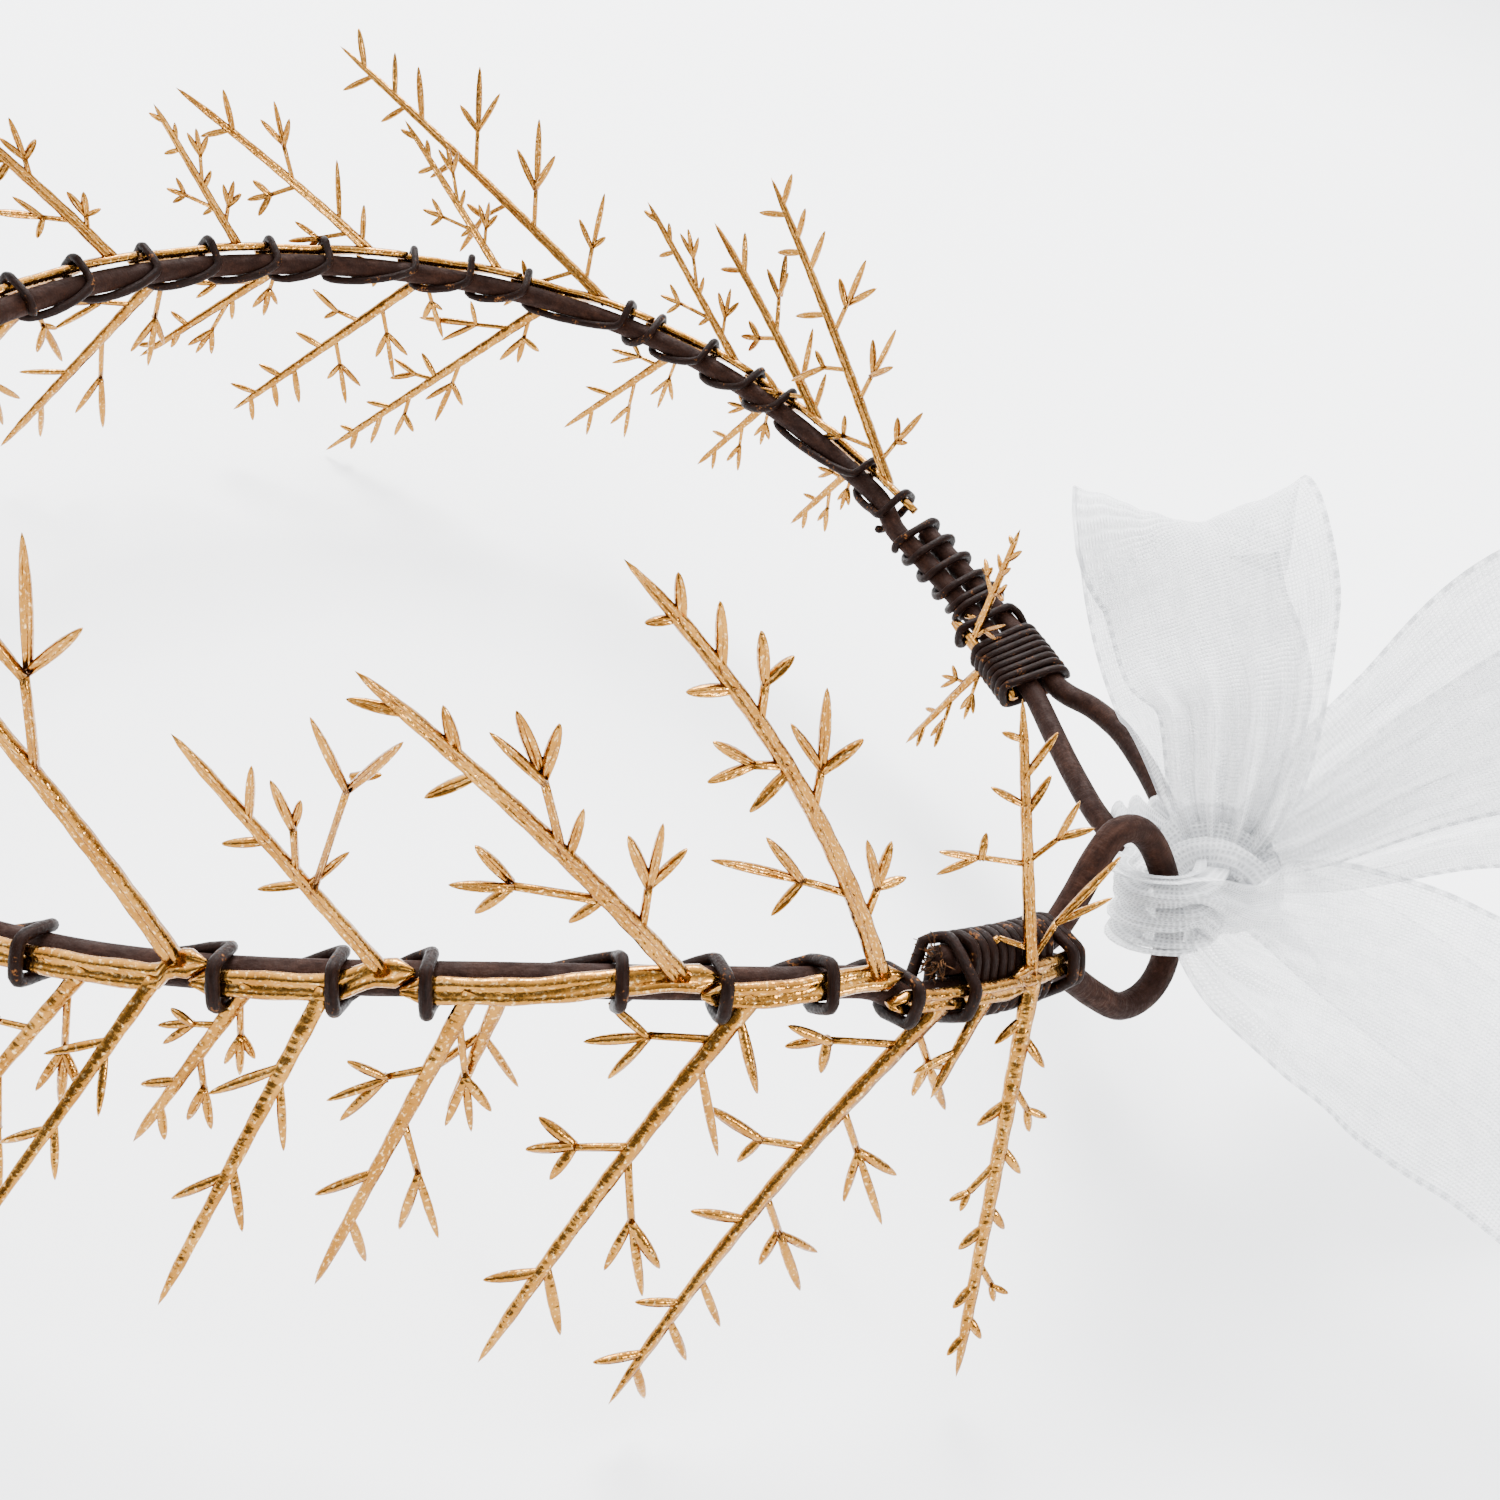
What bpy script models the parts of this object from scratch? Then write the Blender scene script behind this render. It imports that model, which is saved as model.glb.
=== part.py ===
"""A hair wreath: an open ring of paper-covered wire with an eyelet at each end, gold fern
sprigs bound on with thin covered wire, and a sheer ribbon laced through the two eyelets.

The ring is seen from above with its gap towards +Y. Angles run from the gap, +Y, towards +X,
so the right half has positive angles, the left half negative ones, and 180 is the front.
"""

import math
from collections import namedtuple

import bmesh
import bpy
import numpy as np
from mathutils import Matrix, Quaternion, Vector

MM = 0.001

# The ring of covered wire
RING_RADIUS = 87.5 * MM
RING_OVAL = 0.039
RING_FRONT_FLARE = 0.05
RING_TWIST = 6.0 * MM
RING_WAVE_COS = -2.5 * MM
RING_WAVE_SIN = 2.3 * MM
WIRE_RADIUS = 1.75 * MM
WIRE_STEP_DEG = 6
STAND_HEIGHT = 42.0 * MM

# The folded ends, in angles from the gap
RIGHT_KNOT_DEG = 17.0
LEFT_KNOT_DEG = -30.0
RIGHT_TAIL_DEG = 13.0
LEFT_TAIL_DEG = 26.0
PAIR_HALF = 2.0 * MM
RIGHT_HEADING = Vector((-0.807, 0.585, 0.081))
RIGHT_RISE = Vector((-0.229, -0.436, 0.871))
LEFT_HEADING = Vector((0.80, 0.60, 0.0))
LEFT_RISE = Vector((-0.57, 0.73, 0.39))

# Binding wire
BINDING_RADIUS = 0.6 * MM
BINDING_POINTS = 10
GAP = 0.3 * MM

# Gold sprigs
STEM_HALF_WIDTH = 1.15 * MM
STEM_THICKNESS = 1.4 * MM
TWIG_HALF_WIDTH = 0.8 * MM
TIP_HALF_WIDTH = 0.55 * MM
STEM_OFFSET = WIRE_RADIUS + STEM_THICKNESS / 2 + 0.4 * MM
STEM_STEP_DEG = 3.0
LEAST_STEP = 3.2 * MM
LEAST_TWIG = 4.6 * MM
LEAST_FORK = 7.5 * MM
PRONG_TURN = 0.75

# Where round the band a limb leaves it, in degrees up from outwards
RISING_SIDE = 30
HANGING_SIDE = -5
INWARD_SIDE = -35

# The ribbon: its bow's knot, the gathered part through the eyelets, and its loops and tails.
# Each station of the cloth is a place from the knot, the way across and the width, in mm.
KNOT = Vector((-3.0, 106.0, 3.0)) * MM
KNOT_HALF = (7.0 * MM, 6.0 * MM, 6.0 * MM)
STRAP_RADIUS = 1.3 * MM
STRAP_CLEAR = 5.0 * MM
STRAP_SIDES = 8
CLOTH_THICKNESS = 0.8 * MM
CLOTH_POINTS = 6
CLOTH_WAVE = 0.03
UPRIGHT_LOOP = (
    ((-3.5, -0.5, 0), (0, 1, 0.3), 4),
    ((-8, -3, 5), (0.1, 1, 0.3), 9),
    ((-17, -8, 13), (0.25, 0.85, 0.5), 22),
    ((-27, -16, 22), (0.34, 0.79, 0.5), 33),
    ((-34, -22, 32), (0.34, 0.79, 0.5), 36),
    ((-31, -23, 40), (0.34, 0.79, 0.5), 37),
    ((-22, -19, 40), (0.34, 0.79, 0.5), 36),
    ((-12, -13, 32), (0.3, 0.8, 0.45), 31),
    ((-4, -7, 21), (0.2, 0.9, 0.4), 21),
    ((0, -2.5, 10), (0.1, 1, 0.3), 9),
    ((0.5, -0.5, 3.5), (0, 1, 0.3), 4),
)
SIDE_LOOP = (
    ((-1, 2.5, 3.5), (0.6, 0.4, -0.5), 4),
    ((-3, 6, 10), (0.5, 0.6, -0.5), 9),
    ((-8, 14, 23), (0.35, 0.7, -0.5), 22),
    ((-15, 24, 35), (0.28, 0.7, -0.52), 33),
    ((-23, 38, 43), (0.28, 0.7, -0.52), 37),
    ((-31, 49, 43), (0.28, 0.7, -0.52), 37),
    ((-34, 50, 34), (0.28, 0.7, -0.52), 37),
    ((-29, 39, 24), (0.28, 0.7, -0.52), 35),
    ((-20, 25, 15), (0.35, 0.7, -0.5), 24),
    ((-9, 12, 5), (0.5, 0.6, -0.5), 9),
    ((-4, 3, -0.5), (0.6, 0.4, -0.5), 4),
)
NEAR_TAIL = (
    ((2, 2, -1.5), (0.87, 0.1, -0.44), 4),
    ((4, 8, -2), (0.87, 0.15, -0.44), 9),
    ((7, 17, -3), (0.87, 0.22, -0.44), 23),
    ((9, 28, -3), (0.87, 0.22, -0.44), 35),
    ((12, 41, -4), (0.87, 0.22, -0.44), 38),
    ((15, 62, -9), (0.9, 0.1, -0.35), 38),
    ((20, 86, -20), (0.95, 0, -0.2), 38),
    ((25, 108, -33), (0.97, -0.1, -0.1), 38),
    ((29, 127, -42), (0.97, -0.2, 0), 38),
    ((33, 147, -43), (0.97, -0.2, 0), 38),
)
FAR_TAIL = (
    ((-2.5, 2, -3), (1, 0.3, 0), 4),
    ((-8, 8, -8), (1, 0.4, 0), 10),
    ((-17, 19, -15), (1, 0.4, -0.1), 24),
    ((-25, 36, -22), (1, 0.4, -0.1), 36),
    ((-32, 56, -31), (1, 0.35, -0.1), 38),
    ((-38, 78, -40), (1, 0.3, 0), 38),
    ((-43, 100, -43), (1, 0.25, 0), 38),
    ((-48, 121, -43), (1, 0.25, 0), 38),
)

Twig = namedtuple("Twig", "where angle length prongs")
Limb = namedtuple("Limb", "at out rise length pattern curl bow twist")
Frond = namedtuple("Frond", "name start stop limbs side offset", defaults=(None, STEM_OFFSET))

# Each pattern is one sprig pressed flat: where a twig leaves the stem and how long it is, as
# shares of the sprig's length, the angle between them, and how many prongs stand beside its tip.
TALL_FERN = (
    Twig(0.06, -38, 0.17, 2),
    Twig(0.14, 58, 0.27, 2),
    Twig(0.32, -36, 0.25, 2),
    Twig(0.43, 52, 0.17, 2),
    Twig(0.55, -34, 0.19, 1),
    Twig(0.66, 48, 0.09, 0),
    Twig(0.73, -33, 0.15, 0),
    Twig(0.86, -30, 0.10, 0),
    Twig(0.90, 42, 0.08, 0),
)
BROAD_FERN = (
    Twig(0.12, -48, 0.27, 2),
    Twig(0.25, 42, 0.40, 2),
    Twig(0.45, -38, 0.40, 2),
    Twig(0.62, 44, 0.13, 0),
    Twig(0.84, 45, 0.17, 0),
    Twig(0.86, -45, 0.16, 0),
)
SPARE_FERN = (
    Twig(0.22, 48, 0.26, 2),
    Twig(0.38, -45, 0.26, 2),
    Twig(0.58, 42, 0.20, 1),
    Twig(0.72, -40, 0.18, 0),
    Twig(0.86, 38, 0.14, 0),
)
LOW_FERN = (
    Twig(0.10, -42, 0.20, 2),
    Twig(0.20, 34, 0.24, 2),
    Twig(0.36, -40, 0.25, 2),
    Twig(0.50, 34, 0.20, 1),
    Twig(0.62, -38, 0.20, 0),
    Twig(0.76, 32, 0.12, 0),
    Twig(0.86, -34, 0.12, 0),
)
SLIM_FERN = (
    Twig(0.18, 35, 0.13, 0),
    Twig(0.27, -35, 0.14, 0),
    Twig(0.42, 35, 0.14, 0),
    Twig(0.52, -32, 0.15, 0),
    Twig(0.67, 32, 0.12, 0),
    Twig(0.78, -32, 0.11, 0),
    Twig(0.90, 30, 0.08, 0),
)
SHORT_TWIG = (Twig(0.55, 42, 0.42, 0),)

# A limb: the angle where it leaves the band; how far it turns out of the band's line and how far
# it rises; its length in mm; its pattern; how much it curls in its own plane and bows out of it;
# and its twist about itself.
RIGHT_FRONDS = (
    Frond("sprig_right_01", 24.2, 34.0, (
        Limb(26.6, 20, -52, 13, SHORT_TWIG, 0, 0, 20),
        Limb(30.2, 6, -52, 57, TALL_FERN, -8, -8, 0),
    ), 12, STEM_OFFSET + 0.9 * MM),
    Frond("sprig_right_02", 34.8, 46.8, (
        Limb(36.0, -26, 51, 61, TALL_FERN, 26, 0, 0),
        Limb(43.2, 22, -56, 48, TALL_FERN, -6, 0, 10),
    )),
    Frond("sprig_right_03", 47.6, 66.0, (
        Limb(49.0, -8, 45, 46, BROAD_FERN, 8, 0, 0),
        Limb(61.6, 46, -66, 37, SPARE_FERN, 0, 0, 0),
    )),
    Frond("sprig_right_04", 66.9, 79.2, (
        Limb(68.0, 8, 54, 33, BROAD_FERN, 0, 0, 0),
        Limb(73.6, 66, -58, 34, SPARE_FERN, 0, 0, 0),
    )),
    Frond("sprig_right_05", 80.0, 94.0, (
        Limb(81.2, 10, 56, 46, BROAD_FERN, 10, 0, 0),
        Limb(85.8, 50, -56, 34, BROAD_FERN, 0, 0, 0),
    )),
    Frond("sprig_right_06", 94.8, 109.0, (
        Limb(96.2, 6, 46, 47, TALL_FERN, 16, 0, 0),
        Limb(103.0, 27, -52, 55, TALL_FERN, -10, 0, 0),
    )),
    Frond("sprig_right_07", 109.8, 124.0, (
        Limb(111.2, 12, 52, 44, BROAD_FERN, 10, 0, 0),
        Limb(118.0, 30, -54, 40, SPARE_FERN, 0, 0, 0),
    )),
    Frond("sprig_right_08", 124.8, 139.0, (
        Limb(126.2, -4, 44, 50, TALL_FERN, 18, 0, 0),
        Limb(133.0, 16, -48, 56, TALL_FERN, -8, 0, 0),
    )),
    Frond("sprig_right_09", 139.8, 154.0, (
        Limb(141.2, 14, 50, 42, BROAD_FERN, 10, 0, 0),
        Limb(148.0, 28, -52, 38, SPARE_FERN, 0, 0, 0),
    )),
    Frond("sprig_right_10", 154.8, 172.0, (
        Limb(156.4, 8, 46, 44, TALL_FERN, 12, 0, 0),
        Limb(164.0, 30, -46, 40, SPARE_FERN, 0, 0, 0),
    )),
)
LEFT_FRONDS = (
    Frond("sprig_left_01", 58.4, 72.4, (
        Limb(62.4, -12, 44, 55, LOW_FERN, 6, 0, 0),
        Limb(67.8, 2, -62, 22, SPARE_FERN, 0, 0, 0),
    )),
    Frond("sprig_left_02", 73.2, 86.0, (
        Limb(75.0, 4, 34, 40, SPARE_FERN, 8, 0, 0),
        Limb(82.0, 2, -60, 24, SPARE_FERN, 0, 0, 0),
    )),
    Frond("sprig_left_03", 86.8, 100.0, (
        Limb(88.2, -6, 44, 32, BROAD_FERN, 0, 0, 0),
        Limb(95.0, 4, -52, 34, SPARE_FERN, 0, 0, 0),
    )),
    Frond("sprig_left_04", 100.8, 116.4, (
        Limb(106.0, 18, 22, 66, LOW_FERN, 4, 0, 0),
        Limb(111.0, 2, -48, 64, SPARE_FERN, 0, 0, 0),
    )),
    Frond("sprig_left_05", 117.0, 129.0, (
        Limb(118.6, 12, 47, 30, BROAD_FERN, 0, 0, 0),
        Limb(125.0, 4, -46, 50, TALL_FERN, 0, 0, 0),
    )),
    Frond("sprig_left_06", 129.8, 144.6, (
        Limb(133.0, 8, 34, 40, SPARE_FERN, 6, 0, 0),
        Limb(140.0, 14, -42, 36, BROAD_FERN, 0, 0, 0),
    )),
    Frond("sprig_left_07", 145.2, 159.0, (
        Limb(147.6, 6, 58, 27, BROAD_FERN, 0, 0, 0),
        Limb(154.0, 24, -54, 48, SPARE_FERN, 0, 0, 0),
    )),
    Frond("sprig_left_08", 159.8, 175.0, (
        Limb(162.0, 12, 44, 42, LOW_FERN, 8, 0, 0),
        Limb(169.0, 20, -48, 60, TALL_FERN, 0, 0, 0),
    )),
)
# The two sprigs that cross the end coils: the side of the band they lie on, in degrees up from
# outwards, and how far off its middle
RIGHT_KNOT_FROND = Frond("knot_sprig_right", 17.7, 23.6, (
    Limb(20.9, -80, 65, 33, SLIM_FERN, 0, 0, 70),
    Limb(20.9, 57, -64, 51, SPARE_FERN, 0, 0, 0),
), 29, STEM_OFFSET)
LEFT_KNOT_FROND = Frond("knot_sprig_left", 31.0, 42.0, (
    Limb(39.2, 0, 89, 22, SLIM_FERN, 0, 0, 0),
    Limb(36.0, -60, -71, 22, SPARE_FERN, 0, 0, 0),
), 203, STEM_OFFSET + PAIR_HALF + 0.3 * MM)
# The angles where a turn of binding wire crosses over the gold stems
RIGHT_WRAPS = (25.2, 33.3, 39.2, 46.3, 53.0, 65.2, 71.0, 78.4, 91.0, 99.6, 108.2, 115.0, 123.2,
               129.8, 138.2, 144.8, 153.2, 160.2, 171.0)
LEFT_WRAPS = (59.6, 66.0, 80.2, 85.2, 92.0, 99.2, 103.0, 115.4, 121.9, 128.2, 138.0, 144.0,
              151.0, 158.2, 166.4, 174.0)
RIGHT_COIL = (17.9, 18.6, 19.3, 22.6, 23.3)
LEFT_COIL = (31.0, 31.8, 32.6, 33.4, 34.2, 37.8, 40.6, 43.2, 46.2, 49.2, 52.2, 55.0)


def clear_scene():
    for obj in list(bpy.data.objects):
        bpy.data.objects.remove(obj, do_unlink=True)


def material(name, colour, roughness, metallic=0.0, alpha=1.0):
    made = bpy.data.materials.new(name)
    made.use_nodes = True
    shader = made.node_tree.nodes["Principled BSDF"]
    shader.inputs["Base Color"].default_value = (*colour, 1.0)
    shader.inputs["Roughness"].default_value = roughness
    shader.inputs["Metallic"].default_value = metallic
    shader.inputs["Alpha"].default_value = alpha
    return made


def add_object(name, mesh, finish):
    obj = bpy.data.objects.new(name, mesh)
    bpy.context.scene.collection.objects.link(obj)
    mesh.materials.clear()
    mesh.materials.append(finish)
    return obj


def ring_point(degrees):
    """The middle of the covered wire at this angle, on a ring that is a little oval and wavy."""
    a = math.radians(degrees)
    radius = RING_RADIUS * (1 + RING_OVAL * math.cos(2 * a) + RING_FRONT_FLARE * math.cos(3 * a))
    height = RING_TWIST * math.sin(2 * a)
    height += RING_WAVE_COS * math.cos(3 * a) + RING_WAVE_SIN * math.sin(3 * a)
    return Vector((radius * math.sin(a), radius * math.cos(a), height))


def ring_frame(degrees):
    """Along the wire towards the front, outwards, and up, at this angle."""
    towards_front = 0.5 if degrees > 0 else -0.5
    along = (ring_point(degrees + towards_front) - ring_point(degrees - towards_front)).normalized()
    a = math.radians(degrees)
    out = Vector((math.sin(a), math.cos(a), 0.0))
    out = (out - along * out.dot(along)).normalized()
    up = out.cross(along) if degrees < 0 else along.cross(out)
    return along, out, up


def level_frame(degrees):
    """The same three directions, with the first two level and the third straight up."""
    a = math.radians(degrees)
    side = 1 if degrees > 0 else -1
    return (
        Vector((side * math.cos(a), -side * math.sin(a), 0.0)),
        Vector((math.sin(a), math.cos(a), 0.0)),
        Vector((0.0, 0.0, 1.0)),
    )


def smooth_step(value):
    value = min(max(value, 0.0), 1.0)
    return value * value * (3 - 2 * value)


def smooth_route(points, spacing):
    """Points about this far apart along a Catmull-Rom curve through the given ones."""
    route = []
    for i in range(len(points) - 1):
        before = points[max(i - 1, 0)]
        a, b = points[i], points[i + 1]
        after = points[min(i + 2, len(points) - 1)]
        steps = max(1, round((b - a).length / spacing))
        for k in range(steps):
            t = k / steps
            bend = 2 * a + (b - before) * t + (2 * before - 5 * a + 4 * b - after) * t * t
            route.append((bend + (3 * a - before - 3 * b + after) * t ** 3) / 2)
    route.append(points[-1])
    return route


def tube(name, route, radius, resolution, finish):
    """A round wire along the route, with filled ends."""
    curve = bpy.data.curves.new(name, "CURVE")
    curve.dimensions = "3D"
    curve.bevel_depth = radius
    curve.bevel_resolution = resolution
    curve.use_fill_caps = True
    spline = curve.splines.new("POLY")
    spline.points.add(len(route) - 1)
    for point, place in zip(spline.points, route):
        point.co = (*place, 1.0)
    return add_object(name, curve, finish)


class End:
    """A folded end of the ring: where it lies, and the two wires that run side by side there."""

    def __init__(self, knot, tail, heading, rise):
        self.side = 1 if knot > 0 else -1
        self.knot = knot
        self.tail = tail
        self.heading = heading.normalized()
        self.rise = (rise - self.heading * rise.dot(self.heading)).normalized()
        self.face = self.heading.cross(self.rise).normalized()

    def place(self, along, across):
        """A point of the eyelet's own plane, in mm along and across its heading."""
        return ring_point(self.knot) + self.heading * along * MM + self.rise * across * MM

    def paired(self, degrees, share):
        """A point on the doubled stretch: share -1 is the band's wire, 1 its folded tail."""
        return ring_point(degrees) + self.rise * PAIR_HALF * share


RIGHT_END = End(RIGHT_KNOT_DEG, RIGHT_TAIL_DEG, RIGHT_HEADING, RIGHT_RISE)
LEFT_END = End(LEFT_KNOT_DEG, LEFT_TAIL_DEG, LEFT_HEADING, LEFT_RISE)
RIGHT_EYELET = (
    (2.6, -3.9), (7.0, -8.0), (11.3, -11.0), (16.0, -10.6), (19.2, -7.2), (20.2, -0.5),
    (18.2, 6.6), (15.2, 10.7), (11.4, 11.6), (8.0, 9.4), (4.2, 5.4),
)
LEFT_EYELET = (
    (4.0, -2.2), (12.0, -2.9), (20.0, -3.4), (28.0, -3.5), (33.2, -2.4), (35.6, 1.4),
    (33.2, 5.2), (27.0, 6.5), (20.0, 7.0), (13.0, 6.8), (7.0, 5.2), (3.0, 3.0),
)


def end_route(end, eyelet):
    """From the cut end of the folded tail, round the eyelet, to where the band runs single."""
    tail_end = end.knot + end.side * end.tail
    route = []
    steps = round(2 * end.tail / WIRE_STEP_DEG)
    for k in range(steps + 1):
        route.append(end.paired(tail_end + (end.knot - tail_end) * k / steps, 1))
    route += [end.place(along, across) for along, across in reversed(eyelet)]
    route += [
        end.paired(end.knot + end.side * WIRE_STEP_DEG * k / 2, -1)
        for k in range(2 * round(end.tail / WIRE_STEP_DEG) + 2)
    ]
    return route


def base_wire(finish):
    right = end_route(RIGHT_END, RIGHT_EYELET)
    left = end_route(LEFT_END, LEFT_EYELET)
    first = RIGHT_KNOT_DEG + RIGHT_TAIL_DEG + WIRE_STEP_DEG
    last = 360 + LEFT_KNOT_DEG - LEFT_TAIL_DEG - WIRE_STEP_DEG
    count = round((last - first) / WIRE_STEP_DEG)
    band = []
    for k in range(count + 1):
        degrees = first + (last - first) * k / count
        band.append(ring_point(degrees if degrees <= 180 else degrees - 360))
    controls = right + band + left[::-1]
    return tube("base_wire", smooth_route(controls, 6.0 * MM), WIRE_RADIUS, 2, finish)


def spike_tree(limb_length, pattern):
    """The skeleton of one sprig pressed flat: each node's place and half width, and its parent."""
    scale = min(1.0, max(0.7, limb_length / (42 * MM)))
    places, widths, parents = [(0.0, 0.0)], [STEM_HALF_WIDTH * scale], [-1]

    def add(place, width, parent):
        places.append(place)
        widths.append(width)
        parents.append(parent)
        return len(places) - 1

    stem, last_where = 0, 0.0
    for twig in pattern:
        if (twig.where - last_where) * limb_length > LEAST_STEP:
            width = STEM_HALF_WIDTH * scale * (1 - 0.5 * twig.where)
            stem = add((twig.where * limb_length, 0.0), width, stem)
            last_where = twig.where
        angle = math.radians(twig.angle)
        reach = max(twig.length * limb_length, LEAST_TWIG)
        x, y = places[stem]
        half = min(TWIG_HALF_WIDTH * scale, 0.11 * reach)
        if twig.prongs == 0 or reach < LEAST_FORK:
            add((x + reach * math.cos(angle), y + reach * math.sin(angle)), half, stem)
            continue
        fork_x = x + 0.54 * reach * math.cos(angle)
        fork_y = y + 0.54 * reach * math.sin(angle)
        fork = add((fork_x, fork_y), half, stem)
        outer = math.copysign(PRONG_TURN, twig.angle)
        for turn, share in ((0.0, 0.46), (outer, 0.40), (-outer, 0.40))[: 1 + twig.prongs]:
            along = share * reach * math.cos(angle + turn)
            across = share * reach * math.sin(angle + turn)
            add((fork_x + along, fork_y + across), 0.9 * half, fork)
    add((limb_length, 0.0), TIP_HALF_WIDTH * scale, stem)
    return places, widths, parents


def flat_mesh(places, widths, parents, thickness):
    """A closed plate over the skeleton: a quad along each piece, a fan at each fork, walls round."""
    flat = bmesh.new()
    near = {i: [] for i in range(len(places))}
    for child, parent in enumerate(parents):
        if parent >= 0:
            near[child].append(parent)
            near[parent].append(child)

    def piece_width(a, b):
        """A piece has its far end's width, so a twig stays slim where it leaves the stem."""
        return widths[a if parents[a] == b else b]

    corners = {}
    for node, others in near.items():
        x, y = places[node]
        if len(others) == 1 and node != 0:
            corners[node] = [flat.verts.new((x, y, 0.0))]
            continue
        rays = []
        for other in others:
            angle = math.atan2(places[other][1] - y, places[other][0] - x)
            rays.append((angle, other, piece_width(node, other)))
        rays.sort()
        found = {}
        for k, (angle, other, half) in enumerate(rays):
            next_angle, next_other, next_half = rays[(k + 1) % len(rays)]
            turn = (next_angle - angle) % (2 * math.pi) if len(rays) > 1 else math.pi
            if len(rays) == 1:
                left = (x - half * math.sin(angle), y + half * math.cos(angle))
                right = (x + half * math.sin(angle), y - half * math.cos(angle))
                found[other, "left"] = [flat.verts.new((*left, z)) for z in (1, -1)]
                found[other, "right"] = [flat.verts.new((*right, z)) for z in (1, -1)]
                break
            if abs(math.sin(turn)) < 0.05:
                shared = (half + next_half) / 2
                corner = (x - shared * math.sin(angle), y + shared * math.cos(angle))
            else:
                along = (next_half + half * math.cos(turn)) / math.sin(turn)
                corner = (
                    x + along * math.cos(angle) - half * math.sin(angle),
                    y + along * math.sin(angle) + half * math.cos(angle),
                )
            pair = [flat.verts.new((*corner, z)) for z in (1, -1)]
            found[other, "left"] = pair
            found[next_other, "right"] = pair
        corners[node] = found
        ring = [found[other, "left"] for _, other, _ in rays]
        if len(rays) > 2:
            flat.faces.new([pair[0] for pair in ring])
            flat.faces.new([pair[1] for pair in reversed(ring)])
        if len(rays) == 1:
            other = rays[0][1]
            left, right = found[other, "left"], found[other, "right"]
            flat.faces.new((left[0], right[0], right[1], left[1]))
    for child, parent in enumerate(parents):
        if parent < 0:
            continue
        left, right = corners[parent][child, "left"], corners[parent][child, "right"]
        if isinstance(corners[child], list):
            tip = corners[child][0]
            flat.faces.new((right[0], tip, left[0]))
            flat.faces.new((left[1], tip, right[1]))
            flat.faces.new((left[0], tip, left[1]))
            flat.faces.new((right[1], tip, right[0]))
            continue
        far_right, far_left = corners[child][parent, "left"], corners[child][parent, "right"]
        flat.faces.new((right[0], far_right[0], far_left[0], left[0]))
        flat.faces.new((left[1], far_left[1], far_right[1], right[1]))
        flat.faces.new((left[0], far_left[0], far_left[1], left[1]))
        flat.faces.new((right[1], far_right[1], far_right[0], right[0]))
    for vert in flat.verts:
        vert.co.z *= thickness / 2
    return flat


def bend(flat, frame_at):
    """Bends a flat plate onto a curve: frame_at(x) gives its middle, width and thickness ways."""
    for vert in flat.verts:
        middle, across, through = frame_at(vert.co.x)
        vert.co = middle + across * vert.co.y + through * vert.co.z
    bmesh.ops.recalc_face_normals(flat, faces=flat.faces)
    return flat


def limb_mesh(limb, base, side, length):
    """One fern limb as a closed mesh, from its base on the band."""
    along, outward, up = level_frame(side * limb.at)
    out, rise = math.radians(limb.out), math.radians(limb.rise)
    level = along * math.cos(out) + outward * math.sin(out)
    heading = (level * math.cos(rise) + up * math.sin(rise)).normalized()
    facing = (outward - heading * outward.dot(heading)).normalized()
    across = facing.cross(heading)
    across = Quaternion(heading, math.radians(limb.twist)) @ across
    if across.dot(along) < 0:
        across = -across
    through = heading.cross(across)
    curl, bow = math.radians(limb.curl), math.radians(limb.bow)

    def frame_at(x):
        share = x / length
        arc = share * (1 - share) * length / 2
        lean = (1 - 2 * share) / 2
        middle = base + heading * x - across * curl * arc - through * bow * arc
        way = (heading - across * curl * lean - through * bow * lean).normalized()
        width = (across - way * across.dot(way)).normalized()
        return middle, width, way.cross(width)

    flat = flat_mesh(*spike_tree(length, limb.pattern), STEM_THICKNESS)
    return bend(flat, frame_at)


def lowest(mesh):
    return min(vert.co.z for vert in mesh.verts)


def standing_limb(limb, base, side):
    """A limb that would pass the table is cut short, so that its lowest tip stands on it."""
    length = limb.length * MM
    mesh = limb_mesh(limb, base, side, length)
    while lowest(mesh) < -STAND_HEIGHT - 0.001 * MM:
        length *= (base.z + STAND_HEIGHT) / (base.z - lowest(mesh))
        mesh.free()
        mesh = limb_mesh(limb, base, side, length)
    return mesh


def limb_side(frond, limb):
    """Where round the band a limb leaves it, in degrees up from outwards."""
    if frond.side is not None:
        return frond.side
    if limb.rise > 0:
        return RISING_SIDE
    return HANGING_SIDE if limb.out >= 0 else INWARD_SIDE


def stem_side(frond, degrees):
    """Where round the band the stem lies at this angle, easing from limb to limb."""
    stops = [(frond.start, limb_side(frond, frond.limbs[0]))]
    stops += sorted((limb.at, limb_side(frond, limb)) for limb in frond.limbs)
    stops.append((frond.stop, stops[-1][1]))
    for (a, first), (b, second) in zip(stops, stops[1:]):
        if degrees <= b:
            return first + (second - first) * smooth_step((degrees - a) / max(b - a, 0.01))
    return stops[-1][1]


def stem_point(frond, side, degrees):
    """The stem's middle at this angle, the way off the band there, and the way along it."""
    along, outward, up = ring_frame(side * degrees)
    around = math.radians(stem_side(frond, degrees))
    off = outward * math.cos(around) + up * math.sin(around)
    return ring_point(side * degrees) + off * frond.offset, off, along


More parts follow.
